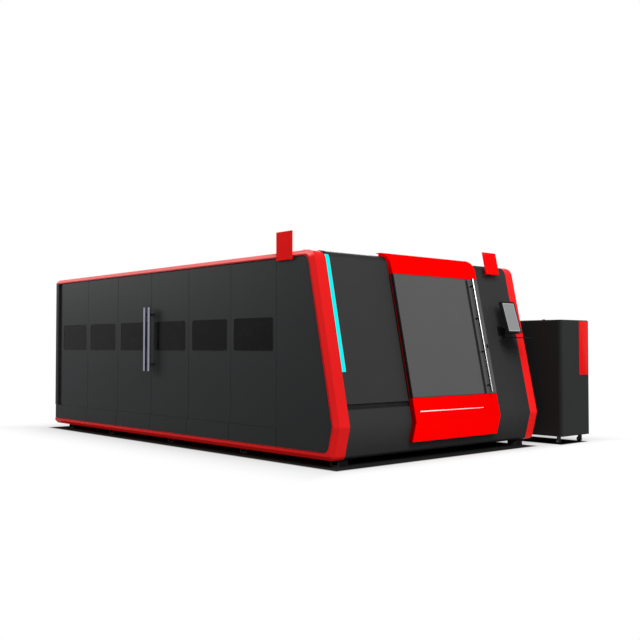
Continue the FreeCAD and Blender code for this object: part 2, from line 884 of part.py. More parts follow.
def rear_wall():
    width = "2 * cover_edge / rear_panel_count"
    pieces = []
    for index in range(int(number("rear_panel_count"))):
        size = (f"{width} - panel_gap", "panel_thickness", "field_top - skirt_top - panel_gap")
        at = (f"-cover_edge + {index} * {width} + panel_gap / 2", "half_length - panel_thickness",
              "skirt_top + panel_gap")
        pieces.append(block(f"rear_panel_{index}", size, at))
    rear_y = "half_length - panel_thickness"
    high_size = ("2 * wall_back", "panel_thickness", "skirt_top - field_foot - panel_gap / 2")
    high = block("rear_skirt_high", high_size, ("-wall_back", rear_y, "field_foot + panel_gap / 2"))
    low_size = ("2 * cover_edge - panel_gap", "panel_thickness", "trim_foot + panel_gap")
    low = block("rear_skirt_low", low_size, ("-cover_edge + panel_gap / 2", rear_y, "base_level"))
    return node(group("rear_panels", pieces + [fuse("rear_skirt", [high, low])]))


def roof():
    starts = ["cover_back"] + seams[1:6] + ["half_length"]
    pieces = []
    for index, (front, rear) in enumerate(zip(starts, starts[1:])):
        size = ("2 * cover_edge", f"{rear} - ({front}) - panel_gap", "trim_top - roof_recess")
        at = ("-cover_edge", f"{front} + panel_gap / 2", "field_top")
        pieces.append(block(f"roof_panel_{index}", size, at))
    return node(group("roof_panels", pieces))


# ---- front covers ----

def front_side(out, back, groove=False):
    # one face of a front cover: along the roof, down the slope, round the crease and under the toe
    side = [(back, f"roof_level + ({out})"), slope_corner(out, f"roof_level + ({out})")]
    if groove:
        for up, depth in (("groove_up + groove_height", "0"), ("groove_up + groove_height", "-groove_depth"),
                          ("groove_up", "-groove_depth"), ("groove_up", "0")):
            side.append(on_slope("0", up, depth)[1:])
    side.append(crease_corner(out))
    side.append(toe_corner(out, f"base_level - ({out})"))
    side.append(("-half_length + toe_setback + cover_return", f"base_level - ({out})"))
    return side


def front_cover(name, left, right, groove=False):
    cover = body(name, (left, "0", "0"))
    outer = front_side("0", "cover_back", groove)
    inner = front_side("-panel_thickness", "cover_back")
    pad(cover, polygon(cover, f"{name}_section", "YZ_Plane", outer + inner[::-1]), f"{right} - ({left})")
    fillet(cover, f"{name}_roof_round", "roof_radius", along_x(outer[1]))
    fillet(cover, f"{name}_roof_inside", "roof_radius - panel_thickness", along_x(inner[1]))
    fillet(cover, f"{name}_crease_round", "crease_radius", along_x(outer[-3]))
    fillet(cover, f"{name}_toe_round", "toe_radius", along_x(outer[-2]))
    fillet(cover, f"{name}_toe_inside", "toe_radius - panel_thickness", along_x(inner[-2]))
    return node(cover)


def front_header():
    header = body("front_header", ("opening_left", "0", "0"))
    outer = front_side("0", "cover_back")[:2]
    inner = front_side("-panel_thickness", "cover_back")[:2]
    lower = [on_slope("0", "header_up", out)[1:] for out in ("0", "-panel_thickness")]
    section = polygon(header, "header_section", "YZ_Plane", outer + lower + inner[::-1])
    pad(header, section, "opening_right - opening_left")
    fillet(header, "header_round", "roof_radius", along_x(outer[1]))
    fillet(header, "header_inside", "roof_radius - panel_thickness", along_x(inner[1]))
    return node(header)


def front_sill():
    sill = body("front_sill", ("opening_left", "0", "0"))
    outer = [on_slope("0", "sill_up")[1:]]
    outer += front_side("0", "cover_back", groove=True)[2:]
    inner = [on_slope("0", "sill_up", "-panel_thickness")[1:]]
    inner += front_side("-panel_thickness", "cover_back")[2:]
    section = polygon(sill, "sill_section", "YZ_Plane", outer + inner[::-1])
    pad(sill, section, "opening_right - opening_left")
    fillet(sill, "sill_crease_round", "crease_radius", along_x(outer[-3]))
    fillet(sill, "sill_toe_round", "toe_radius", along_x(outer[-2]))
    fillet(sill, "sill_toe_inside", "toe_radius - panel_thickness", along_x(inner[-2]))
    return node(sill)


def status_light():
    lamp = body("status_light", ("-cover_edge", "0", "0"))
    back = "-half_length + front_setback + roof_radius"
    gap = "running_gap"
    outer = [(back, "roof_level + lamp_proud"), slope_corner("lamp_proud", "roof_level + lamp_proud"),
             on_slope("0", "lamp_foot", "lamp_proud")[1:]]
    inner = [(back, f"roof_level + {gap}"), slope_corner(gap, f"roof_level + {gap}"),
             on_slope("0", "lamp_foot", gap)[1:]]
    pad(lamp, polygon(lamp, "lamp_section", "YZ_Plane", outer + inner[::-1]), "lamp_width")
    fillet(lamp, "lamp_round", "roof_radius + lamp_proud", along_x(outer[1]))
    fillet(lamp, "lamp_inside", f"roof_radius + {gap}", along_x(inner[1]))
    return node(lamp)


def door_track():
    left = "-half_width + panel_recess"
    size = (f"door_right - ({left})", "track_width", "track_height")
    at = (left, "(hook_front + hook_back) / 2 - track_width / 2", "roof_level")
    return node(block("door_track", size, at))


def signs():
    side_size = ("sign_thickness", "sign_width", "side_sign_height")
    side_at = ("-half_width - sign_thickness", "-half_length + side_sign_y", "base_level + side_sign_foot")
    pieces = [block("side_sign", side_size, side_at)]
    left = "front_sign_right - sign_width"
    front_size = ("sign_width", "sign_thickness", "sign_height")
    front_at = on_slope(left, "front_sign_up", "front_sign_standoff + sign_thickness")
    pieces.append(block("front_sign_plate", front_size, front_at, "slope"))
    length = "front_sign_standoff - running_gap"
    for index, share in enumerate((0.2, 0.8)):
        at = on_slope(f"{left} + sign_width * {share}", "front_sign_up + 1.5 * post_radius", "running_gap")
        pieces.append(rod(f"sign_post_{index}", "post_radius", length, at, "outward"))
    return node(group("sign_plates", pieces))


# ---- sliding front door ----

def door_shell():
    shell = body("door_section", ("door_left", "0", "0"))
    foot = "base_level + door_foot"
    sides = []
    for out, above in (("door_proud", "door_roof_proud"), ("door_clearance", "door_clearance")):
        sides.append([("hook_back", f"roof_level + {above}"), slope_corner(out, f"roof_level + {above}"),
                      crease_corner(out), toe_corner(out, foot)])
    outer, inner = sides
    pad(shell, polygon(shell, "shell_section", "YZ_Plane", outer + inner[::-1]), "door_width")
    fillet(shell, "shell_roof_round", "roof_radius + door_proud", along_x(outer[1]))
    fillet(shell, "shell_roof_inside", "roof_radius + door_clearance", along_x(inner[1]))
    ends = (0, number("door_width"))

    def outside(edge):
        middle = edge.valueAt((edge.FirstParameter + edge.LastParameter) / 2)
        on_end = min(abs(middle.x - end) for end in ends) < 0.01
        return on_end and outline_depth(middle) < -number("door_proud") / 6
    chamfer(shell, "shell_edge", "door_edge", outside)
    low = ("hook_front", "roof_level")
    high = ("hook_back + door_edge", "roof_level + door_roof_proud - door_lip")
    pocket(shell, rectangle(shell, "shell_hook", "YZ_Plane", low, high), None)
    seat = block(
        "glass_seat",
        ("door_width - glass_inset + door_edge", "2 * glass_thickness", "glass_head - glass_foot"),
        on_slope("door_left + glass_inset", "glass_foot", "door_proud + glass_thickness"), "slope")
    hole = block(
        "glass_hole",
        ("door_width - glass_inset - glass_rebate - stile_width", "door_proud + glass_thickness",
         "glass_head - glass_foot - 2 * glass_rebate"),
        on_slope("door_left + glass_inset + glass_rebate", "glass_foot + glass_rebate",
                 "door_proud + glass_thickness / 2"), "slope")
    return node(cut("door_shell", shell, [seat, hole]))


def door_glass():
    size = ("door_width - glass_inset - pane_clearance", "glass_thickness",
            "glass_head - glass_foot - 2 * pane_clearance")
    at = on_slope("door_left + glass_inset + pane_clearance", "glass_foot + pane_clearance", "door_proud")
    return node(block("door_glass", size, at, "slope"))


def door_handle():
    across = "door_right - door_handle_inset"
    foot = "door_handle_foot"
    length = "door_handle_head - door_handle_foot"
    out = "door_proud + door_handle_standoff"
    pieces = [rod("door_pull", "door_handle_radius", length, on_slope(across, foot, out), "slope")]
    for index, share in enumerate((0.06, 0.355, 0.65, 0.94)):
        at = on_slope(across, f"{foot} + ({length}) * {share}", "door_proud")
        pieces.append(rod(f"door_pull_post_{index}", "post_radius", "door_handle_standoff", at, "outward"))
    return node(fuse("door_handle", pieces))


def door_rollers():
    pieces = []
    level = "roof_level + track_height + wheel_radius + running_gap"
    axle_length = "(hook_back - hook_front + wheel_width) / 2"
    for index, across in enumerate(("door_left + wheel_inset", "door_left + door_width / 2",
                                    "door_right - wheel_inset")):
        wheel_y = "(hook_front + hook_back - wheel_width) / 2"
        wheel = rod(f"top_wheel_{index}", "wheel_radius", "wheel_width", (across, wheel_y, level), "y")
        axle = rod(f"top_axle_{index}", "axle_radius", axle_length, (across, "hook_front", level), "y")
        pieces.append(fuse(f"top_roller_{index}", [wheel, axle]))
    up = "groove_up + groove_height / 2"
    for index, across in enumerate(("door_left + guide_inset_left", "door_right - guide_inset_right")):
        floor = "3 - groove_depth"
        wheel_at = on_slope(across, up, floor)
        wheel = rod(f"guide_wheel_{index}", "guide_radius", "guide_width", wheel_at, "outward")
        axle = rod(f"guide_axle_{index}", "axle_radius", f"door_clearance - ({floor})", wheel_at, "outward")
        pieces.append(fuse(f"guide_roller_{index}", [wheel, axle]))
    return node(group("door_rollers", pieces))


# ---- operator's screen on its arm ----

def screen_bracket():
    base_at = on_slope("arm_across - bracket_width / 2", "arm_up - bracket_height / 2", "bracket_plate")
    base = block("bracket_base", ("bracket_width", "bracket_plate", "bracket_height"), base_at, "slope")
    solid = [base]
    holes = []
    for end, up in (("low", "arm_up - hub_length / 2 - running_gap - lug_thickness"),
                    ("high", "arm_up + hub_length / 2 + running_gap")):
        size = ("2 * hub_radius", "arm_base_out + hub_radius - bracket_plate", "lug_thickness")
        at = on_slope("arm_across - hub_radius", up, "arm_base_out + hub_radius")
        solid.append(block(f"bracket_{end}_lug", size, at, "slope"))
        hole_at = on_slope("arm_across", f"{up} - 1", "arm_base_out")
        hole_radius = "arm_pin_radius + running_gap"
        holes.append(rod(f"bracket_{end}_hole", hole_radius, "lug_thickness + 2", hole_at, "slope"))
    return node(cut("screen_bracket", fuse("bracket_solid", solid), holes))


def screen_arm():
    pin_reach = "hub_length / 2 + running_gap + lug_thickness"
    base_hub = rod("base_hub", "hub_radius", "hub_length",
                   on_slope("arm_across", "arm_up - hub_length / 2", "arm_base_out"), "slope")
    base_pin = rod("base_pin", "arm_pin_radius", f"2 * ({pin_reach})",
                   on_slope("arm_across", f"arm_up - ({pin_reach})", "arm_base_out"), "slope")
    bar = block("arm_link", ("arm_bar", "arm_tip_out - arm_base_out", "arm_bar"),
                on_slope("arm_across - arm_bar / 2", "arm_up - arm_bar / 2", "arm_tip_out"), "slope")
    tip_hub = rod("tip_hub", "hub_radius", "hub_length",
                  on_slope("arm_across - hub_length / 2", "arm_up", "arm_tip_out"), "x")
    tip_pin = rod("tip_pin", "arm_pin_radius", f"2 * ({pin_reach})",
                  on_slope(f"arm_across - ({pin_reach})", "arm_up", "arm_tip_out"), "x")
    _, shelf_y, link_level = on_slope("0", "arm_up - arm_bar / 4", "arm_tip_out - arm_bar")
    drop = f"{link_level} - shelf_level"
    hanger_at = ("arm_across - arm_bar / 2", shelf_y, "shelf_level")
    hanger = block("shelf_hanger", ("arm_bar", "shelf_plate", drop), hanger_at)
    node(fuse("screen_arm", [base_hub, base_pin, bar, tip_hub, tip_pin, hanger]))
    return shelf_y


def keyboard_shelf(rear_y):
    plate = body("keyboard_shelf", ("0", "0", "shelf_level - shelf_plate"))
    low = ("shelf_left", f"{rear_y} + shelf_plate - shelf_depth")
    high = ("shelf_left + shelf_width", f"{rear_y} + shelf_plate")
    pad(plate, rectangle(plate, "shelf_outline", "XY_Plane", low, high), "shelf_plate")
    fillet(plate, "shelf_round", "shelf_radius", parallel(z_axis))
    return node(plate)


def screen():
    # built about its tilt pivot, with the glass leaning back a little more than the cover behind it
    pivot = on_slope("0", "arm_up", "arm_tip_out")
    housing = body("screen_case", ("0", pivot[1], pivot[2]), "screen")
    back = "-(screen_out - arm_tip_out)"
    foot = "screen_foot - arm_up"
    low = ("screen_left", foot)
    high = ("screen_left + screen_width", f"{foot} + screen_height")
    pad(housing, rectangle(housing, "case_outline", "XZ_Plane", low, high, f"-({back})"), "screen_depth")
    fillet(housing, "case_round", "screen_radius", parallel(y_axis))
    front = "screen_out - arm_tip_out + screen_depth"
    low = ("screen_left + screen_frame", f"{foot} + screen_frame")
    high = ("screen_left + screen_width - screen_frame", f"{foot} + screen_height - screen_frame")
    face = rectangle(housing, "case_face", "XZ_Plane", low, high, front)
    pocket(housing, face, "screen_glass")
    solid = [housing]
    holes = []
    for end, across in (("left", "arm_across - hub_length / 2 - running_gap - lug_thickness"),
                        ("right", "arm_across + hub_length / 2 + running_gap")):
        size = ("lug_thickness", "screen_out - arm_tip_out + hub_radius", "2 * hub_radius")
        lug = block(f"screen_{end}_lug", size, ("0", "0", "0"))
        bind_screen_frame(lug, across, back, "-hub_radius")
        solid.append(lug)
        hole = rod(f"screen_{end}_hole", "arm_pin_radius + running_gap", "lug_thickness + 2",
                   (f"{across} - 1", pivot[1], pivot[2]), "x")
        holes.append(hole)
    node(cut("screen_housing", fuse("screen_solid", solid), holes))
    glass = body("screen_glass", ("0", pivot[1], pivot[2]), "screen")
    inner_low = tuple(f"{text} + pane_clearance" for text in low)
    inner_high = tuple(f"{text} - pane_clearance" for text in high)
    outline = rectangle(glass, "glass_outline", "XZ_Plane", inner_low, inner_high, f"{front} - screen_glass")
    pad(glass, outline, "screen_glass")
    return node(glass)


def bind_screen_frame(item, across, inward, up):
    # places a block whose corner is given in the leaning frame of the screen, from its tilt pivot
    _, y, z = on_slope("0", "arm_up", "arm_tip_out")
    y = f"{y} + ({inward}) * cos(screen_lean) + ({up}) * sin(screen_lean)"
    z = f"{z} - ({inward}) * sin(screen_lean) + ({up}) * cos(screen_lean)"
    place(item, (across, y, z), "screen")


# ---- gantry and cutting head ----

cross_rail_levels = {
    "low": "gantry_foot + cross_rail_height",
    "high": "gantry_foot + gantry_height - 2 * cross_rail_height",
}


def gantry():
    half = "bed_half + gantry_overhang"
    beam = body("cross_beam", (f"-({half})", "0", "0"))
    low = ("beam_front", "gantry_foot")
    high = ("beam_front + gantry_depth", "gantry_foot + gantry_height")
    pad(beam, rectangle(beam, "beam_section", "YZ_Plane", low, high), f"2 * ({half})")
    chamfer(beam, "beam_edge", "gantry_edge", parallel(x_axis, lambda spot: spot.y > number("gantry_rest")))
    pieces = [beam]
    for end, level in cross_rail_levels.items():
        size = (f"2 * ({half})", "cross_rail_width", "cross_rail_height")
        at = (f"-({half})", "beam_front - cross_rail_width", level)
        pieces.append(block(f"cross_rail_{end}", size, at))
    return node(group("gantry_beam", pieces))


def gantry_trucks():
    # each truck rides on its guide rail, which runs in a slot of its underside
    front = "gantry_rest - truck_length / 2"
    foot = "bed_top + truck_gap"
    shell = block("truck_shell", ("truck_width", "truck_length", f"gantry_foot - ({foot})"),
                  ("-bed_half - truck_width / 2", front, foot))
    slot_size = ("rail_width + 2 * running_gap", "truck_length + 2", "rail_height + running_gap")
    slot_at = ("-bed_half - rail_width / 2 - running_gap", f"{front} - 1", "bed_top")
    slot = block("truck_slot", slot_size, slot_at)
    return node(both_sides("gantry_trucks", [cut("truck", shell, [slot])]))


def carriage():
    plate = block("carriage_plate", ("carriage_width", "carriage_thickness", "carriage_height"),
                  ("-carriage_width / 2", "carriage_back - carriage_thickness", "gantry_foot - truck_gap"))
    motor_y = "carriage_back - carriage_thickness"
    motor = block("lift_motor", ("motor_size", "motor_size", "motor_size"),
                  ("-motor_size / 2", motor_y, "gantry_foot - truck_gap + carriage_height"))
    cap = rod("motor_cap", "motor_size * 0.4", "motor_size * 0.3",
              ("0", f"{motor_y} + motor_size / 2", "gantry_foot - truck_gap + carriage_height + motor_size"))
    return node(fuse("carriage", [plate, motor, cap] + carriage_shoes()))


def carriage_shoes():
    # pairs of shoes that hold the carriage above and below each cross rail
    shoes = []
    for rail, level in cross_rail_levels.items():
        above = f"{level} + cross_rail_height + running_gap"
        below = f"{level} - running_gap - shoe_height"
        for side, across in (("left", "-carriage_width / 2"), ("right", "carriage_width / 2 - shoe_width")):
            for place_name, foot in (("above", above), ("below", below)):
                size = ("shoe_width", "cross_rail_width", "shoe_height")
                shoes.append(block(f"shoe_{rail}_{side}_{place_name}", size, (across, "carriage_back", foot)))
    return shoes


def lift():
    low = "gantry_foot - lift_drop"
    clamp_level = f"{low} + clamp_height"
    plate = block("lift_plate", ("lift_width", "lift_thickness", "lift_height - 2 * lift_drop"),
                  ("-lift_width / 2", "lift_back - lift_thickness", low))
    clamp_half = "head_radius + clamp_wall"
    clamp = block("lift_clamp", (f"2 * ({clamp_half})", f"{clamp_half} + head_radius", "clamp_height"),
                  (f"-({clamp_half})", f"head_axis - ({clamp_half})", clamp_level))
    bore = rod("clamp_bore", "head_radius", "clamp_height + 2", ("0", "head_axis", f"{clamp_level} - 1"))
    return node(cut("lift_slide", fuse("lift_solid", [plate, clamp]), [bore]))


def cutting_head():
    head = body("cutting_head", ("0", "head_axis", "head_tip"))
    collar = "head_radius * 0.7"
    tip_length = "nozzle_length * 0.22"
    corners = [("0", "0"), ("nozzle_radius", "0"), ("nozzle_radius * 1.6", tip_length),
               ("nozzle_radius * 3", tip_length), (collar, "nozzle_length * 0.8"),
               (collar, "nozzle_length"), ("head_radius", "nozzle_length + head_radius / 2"),
               ("head_radius", "head_length - head_radius / 2"), (collar, "head_length"),
               ("0", "head_length")]
    section = polygon(head, "head_section", "XZ_Plane", corners)
    turned = head.newObject("PartDesign::Revolution", "head_turned")
    turned.Profile = section
    turned.ReferenceAxis = (section, ["V_Axis"])
    turned.Angle = 360
    doc.recompute()
    return node(head)


# ---- cabinet on casters ----

def cabinet():
    case = body("cabinet_body", ("0", "0", "0"))
    low = ("cabinet_left", "cabinet_front")
    high = ("cabinet_right", "cabinet_rear")
    plan = rectangle(case, "cabinet_plan", "XY_Plane", low, high, "cabinet_foot")
    pad(case, plan, "cabinet_top - cabinet_foot")
    fillet(case, "cabinet_corner", "cabinet_radius", parallel(z_axis))
    top = number("cabinet_top")
    chamfer(case, "cabinet_lid_edge", "cabinet_lid", lambda edge: abs(edge.CenterOfMass.z - top) < 0.01)
    centre = "(cabinet_left + cabinet_right) / 2"
    foot = "cabinet_top - vent_inset - vent_count * vent_pitch"
    slot = rectangle(case, "vent_slot", "XZ_Plane", (f"{centre} - vent_width / 2", foot),
                     (f"{centre} + vent_width / 2", f"{foot} + vent_height"), "-cabinet_rear")
    first = pocket(case, slot, "vent_depth", backwards=True)
    vents = case.newObject("PartDesign::LinearPattern", "vent_rows")
    vents.Originals = [first]
    vents.Direction = (slot, ["V_Axis"])
    vents.Mode = "Spacing"
    bind(vents, "Offset", "vent_pitch")
    bind(vents, "Occurrences", "vent_count")
    case.Tip = vents
    return node(case)


def cabinet_trim():
    stripe_size = ("stripe_width", "stripe_thickness", "stripe_height")
    stripe_at = ("cabinet_right - stripe_inset - stripe_width", "cabinet_front - stripe_thickness",
                 "cabinet_top - cabinet_lid - stripe_height")
    node(block("cabinet_stripe", stripe_size, stripe_at))
    centre = ("(cabinet_left + cabinet_right) / 2", "(cabinet_front + cabinet_rear) / 2")
    knob = doc.addObject("Part::Cone", "cabinet_knob")
    bind(knob, "Radius1", "knob_radius")
    bind(knob, "Radius2", "knob_radius * 0.8")
    bind(knob, "Height", "knob_height")
    place(knob, (*centre, "cabinet_top"))
    node(knob)


caster_spots = {
    "front_left": ("cabinet_left + caster_inset", "cabinet_front + caster_inset"),
    "front_right": ("cabinet_right - caster_inset", "cabinet_front + caster_inset"),
    "rear_left": ("cabinet_left + caster_inset", "cabinet_rear - caster_inset"),
    "rear_right": ("cabinet_right - caster_inset", "cabinet_rear - caster_inset"),
}


def caster_fork(name, across, stem_y, swivels):
    # a swivelling fork hangs from a round disc, and a fixed one from a square plate
    wheel_y = f"{stem_y} + caster_trail"
    level = "cabinet_foot - caster_disc"
    if swivels:
        pieces = [rod(f"{name}_disc", "caster_disc_radius", "caster_disc", (across, stem_y, level))]
    else:
        size = ("2 * caster_disc_radius", "2 * caster_disc_radius", "caster_disc")
        corner = (f"{across} - caster_disc_radius", f"{stem_y} - caster_disc_radius", level)
        pieces = [block(f"{name}_plate", size, corner)]
    reach = "caster_wheel_width / 2 + running_gap"
    for side, start in (("left", f"{across} - ({reach}) - caster_cheek"), ("right", f"{across} + {reach}")):
        cheek_foot = "caster_wheel_radius - 2 * caster_axle_radius"
        cheek_height = f"cabinet_foot - caster_disc / 2 - ({cheek_foot})"
        cheek_size = ("caster_cheek", "caster_cheek_length", cheek_height)
        cheek_at = (start, f"{wheel_y} + 2 * caster_axle_radius - caster_cheek_length", cheek_foot)
        pieces.append(block(f"{name}_{side}_cheek", cheek_size, cheek_at))
    axle = rod(f"{name}_axle", "caster_axle_radius", f"2 * ({reach} + caster_cheek)",
               (f"{across} - ({reach}) - caster_cheek", wheel_y, "caster_wheel_radius"), "x")
    return fuse(name, pieces + [axle])


def caster_wheel(name, across, stem_y):
    wheel = body(name, (across, f"{stem_y} + caster_trail", "caster_wheel_radius"))
    half = "caster_wheel_width / 2"
    bore = "caster_axle_radius + running_gap"
    corners = [(f"-({half})", bore), (half, bore), (half, "caster_wheel_radius"),
               (f"-({half})", "caster_wheel_radius")]
    section = polygon(wheel, f"{name}_section", "XZ_Plane", corners)
    turned = wheel.newObject("PartDesign::Revolution", f"{name}_turned")
    turned.Profile = section
    turned.ReferenceAxis = (section, ["H_Axis"])
    turned.Angle = 360
    doc.recompute()
    return node(wheel)


def casters():
    fixed = []
    for spot, (across, stem_y) in caster_spots.items():
        swivels = spot.startswith("front")
        fork = caster_fork(f"caster_fork_{spot}", across, stem_y, swivels)
        if swivels:
            node(fork)
        else:
            fixed.append(fork)
        caster_wheel(f"caster_wheel_{spot}", across, stem_y)
    node(group("caster_forks_rear", fixed))


# ---- the machine ----

feet()
base_frame()
bed()
y_rails()
table_frame()
slats()
scrap_tray()
posts()
roof_beams()
trims()
rear_columns()
left_wall()
right_wall(front_wall_panel())
skirts()
rear_wall()
roof()
front_cover("front_left_cover", "-cover_edge", "opening_left", groove=True)
front_cover("front_right_cover", "opening_right", "cover_edge")
front_header()
front_sill()
status_light()
door_track()
signs()
door_shell()
door_glass()
door_handle()
door_rollers()
door_lugs([door_leaf(bay, name) for bay, name in door_bays.items()])
screen_bracket()
keyboard_shelf(screen_arm())
screen()
gantry()
gantry_trucks()
carriage()
lift()
cutting_head()
cabinet()
cabinet_trim()
casters()

doc.recompute()
for item in doc.Objects:
    if "Invalid" in item.State or "Error" in item.State:
        raise ValueError(f"{item.Name} failed: {item.State}")
for item in nodes:
    if item.Shape.isNull() or not item.Shape.isValid() or not item.Shape.Solids:
        raise ValueError(f"{item.Label} has no valid solid")

os.makedirs("parts", exist_ok=True)
for item in nodes:
    item.Shape.exportStep(f"parts/{item.Label}.step")
print(f"{len(nodes)} sub-parts written")
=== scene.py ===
from math import atan2, cos, radians, sin, tan, tau

import bmesh
import bpy
from mathutils import Matrix, Vector


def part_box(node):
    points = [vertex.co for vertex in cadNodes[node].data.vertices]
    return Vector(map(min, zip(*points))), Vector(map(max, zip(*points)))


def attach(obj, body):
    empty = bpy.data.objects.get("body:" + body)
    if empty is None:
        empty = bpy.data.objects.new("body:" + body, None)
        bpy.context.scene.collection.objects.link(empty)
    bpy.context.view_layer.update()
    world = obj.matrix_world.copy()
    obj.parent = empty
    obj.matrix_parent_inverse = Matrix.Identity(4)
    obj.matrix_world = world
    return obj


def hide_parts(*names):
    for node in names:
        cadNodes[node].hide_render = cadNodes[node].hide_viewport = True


# Enclosed laser cutting machine, seen from its front left. X runs to the operator's right, Y from the
# front to the rear and Z up, in metres.

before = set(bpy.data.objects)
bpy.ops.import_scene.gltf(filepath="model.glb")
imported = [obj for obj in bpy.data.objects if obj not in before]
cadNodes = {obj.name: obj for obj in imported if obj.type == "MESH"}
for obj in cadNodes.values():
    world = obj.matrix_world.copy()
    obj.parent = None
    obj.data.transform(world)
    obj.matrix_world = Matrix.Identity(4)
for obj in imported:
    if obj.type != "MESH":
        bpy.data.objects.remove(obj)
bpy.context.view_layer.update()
print("frame loaded:", len(cadNodes), "nodes")

body = {"halfWidth": 1.68, "halfLength": 3.05, "baseLevel": 0.07, "roofLevel": 2.17}
front = {"creaseLevel": 0.399, "setback": 0.377, "toeSetback": 0.083}
lean = atan2(front["setback"], body["roofLevel"] - front["creaseLevel"])


def onSlope(across, up, out=0.0):
    # a point over the sloped front, up along the slope from the crease and out along its normal
    y = up * sin(lean) - out * cos(lean) - body["halfLength"]
    z = front["creaseLevel"] + up * cos(lean) + out * sin(lean)
    return Vector((across, y, z))


slopeUp = Vector((0, sin(lean), cos(lean)))
slopeOut = Vector((0, -cos(lean), sin(lean)))
slopeTurn = Matrix.Rotation(-lean, 4, "X")


def tint(red, green, blue):
    # a colour as it shows on a screen, 0 to 255, turned into the shader's own scale
    return tuple((v / 12.92 if v < 0.0405 else ((v + 0.055) / 1.055) ** 2.4)
                 for v in (red / 255, green / 255, blue / 255)) + (1.0,)


def shade(colour, factor):
    return tuple(min(channel * factor, 1.0) for channel in colour[:3]) + (1.0,)


def written(operation, turned=False):
    # an operator that adds a maths node; turned for a number that stands before the socket
    def worked(self, other):
        first, second = (other, self) if turned else (self, other)
        return self.tree.maths(operation, first, second)
    return worked


class Value:
    # a socket that sums can be written with
    def __init__(self, tree, link):
        self.tree = tree
        self.link = link

    __add__, __radd__ = written("ADD"), written("ADD", True)
    __sub__, __rsub__ = written("SUBTRACT"), written("SUBTRACT", True)
    __mul__, __rmul__ = written("MULTIPLY"), written("MULTIPLY", True)
    __truediv__, __rtruediv__ = written("DIVIDE"), written("DIVIDE", True)
    __gt__, __lt__ = written("GREATER_THAN"), written("LESS_THAN")


class Tree:
    # the nodes of a material or of the world
    def __init__(self, owner):
        owner.use_nodes = True
        self.nodes = owner.node_tree.nodes
        self.links = owner.node_tree.links
        self.nodes.clear()

    def node(self, kind, settings=None, values=None, output=0):
        made = self.nodes.new(kind)
        for name, setting in (settings or {}).items():
            setattr(made, name, setting)
        for name, value in (values or {}).items():
            if isinstance(value, Value):
                self.links.new(value.link, made.inputs[name])
            else:
                made.inputs[name].default_value = value
        return Value(self, made.outputs[output]) if made.outputs else made

    def maths(self, operation, first, second=0.0, clamp=False):
        return self.node("ShaderNodeMath", {"operation": operation, "use_clamp": clamp}, {0: first, 1: second})

    def watched(self):
        # 1 for what is seen straight, mirrored or through glass, and 0 for light that bounces
        camera, glossy, through = (self.node("ShaderNodeLightPath", output=f"Is {ray} Ray")
                                   for ray in ("Camera", "Glossy", "Transmission"))
        return self.maths("ADD", camera + glossy, through, clamp=True)


class Finish(Tree):
    # one material, built node by node over its own colour
    def __init__(self, name, colour=(255, 255, 255)):
        self.material = bpy.data.materials.new(name)
        self.colour = tint(*colour)
        super().__init__(self.material)
        self.place = self.node("ShaderNodeTexCoord", output="Object")
        self.across, self.along, self.level = (self.part(self.place, axis) for axis in "XYZ")

    def part(self, vector, axis):
        return self.node("ShaderNodeSeparateXYZ", values={0: vector}, output=axis)

    def normal(self):
        return self.node("ShaderNodeNewGeometry", output="Normal")

    def noise(self, scale, detail=2.0, roughness=0.5, stretch=None):
        where = self.place
        if stretch:
            where = self.node("ShaderNodeMapping", values={"Vector": self.place, "Scale": stretch})
        return self.node("ShaderNodeTexNoise", values={
            "Vector": where, "Scale": scale, "Detail": detail, "Roughness": roughness})

    def ease(self, value, low, high):
        # runs smoothly from 0 at low to 1 at high
        return self.node("ShaderNodeMapRange", {"interpolation_type": "SMOOTHSTEP"}, {
            "Value": value, "From Min": low, "From Max": high})

    def facing(self, axis="Z"):
        return self.part(self.normal(), axis)

    def toned(self, tone):
        # a bare number stands for the finish's own colour made darker or lighter
        return shade(self.colour, tone) if isinstance(tone, float) else tone

    def mix(self, factor, first, second):
        return self.node("ShaderNodeMix", {"data_type": "RGBA"},
                         {0: factor, 6: self.toned(first), 7: self.toned(second)}, output=2)

    def rounded(self, radius):
        # the normal as if each sharp edge had this radius
        return self.node("ShaderNodeBevel", {"samples": 4}, {"Radius": radius})

    def wear(self, radius):
        # near 1 along the sharp edges and 0 on the flats
        alike = self.node("ShaderNodeVectorMath", {"operation": "DOT_PRODUCT"},
                          {0: self.normal(), 1: self.rounded(radius)}, output="Value")
        return self.ease(1 - alike, 0.02, 0.25)

    def bump(self, height, distance, strength, edge=0.0, normal=None):
        values = {"Height": height, "Distance": distance, "Strength": strength}
        if edge:
            values["Normal"] = normal or self.rounded(edge)
        return self.node("ShaderNodeBump", values=values)

    def surface(self, colour, roughness, normal, gloss=0.5, metallic=0.0, alpha=1.0, glow=None, strength=1.0):
        values = {"Base Color": colour, "Roughness": roughness, "Normal": normal, "Specular IOR Level": gloss,
                  "Metallic": metallic, "Alpha": alpha}
        if glow:
            values.update({"Emission Color": glow, "Emission Strength": strength})
        shader = self.node("ShaderNodeBsdfPrincipled", values=values)
        self.node("ShaderNodeOutputMaterial", values={"Surface": shader})
        return self.material


# the bent normal of the front's crease, and the painted shade that darkens the front towards its foot
foldAndShadeLook = {"bend": (0.16, 0.52), "below": -0.24, "above": 0.21, "dark": (0.06, 0.42), "foot": 0.83}


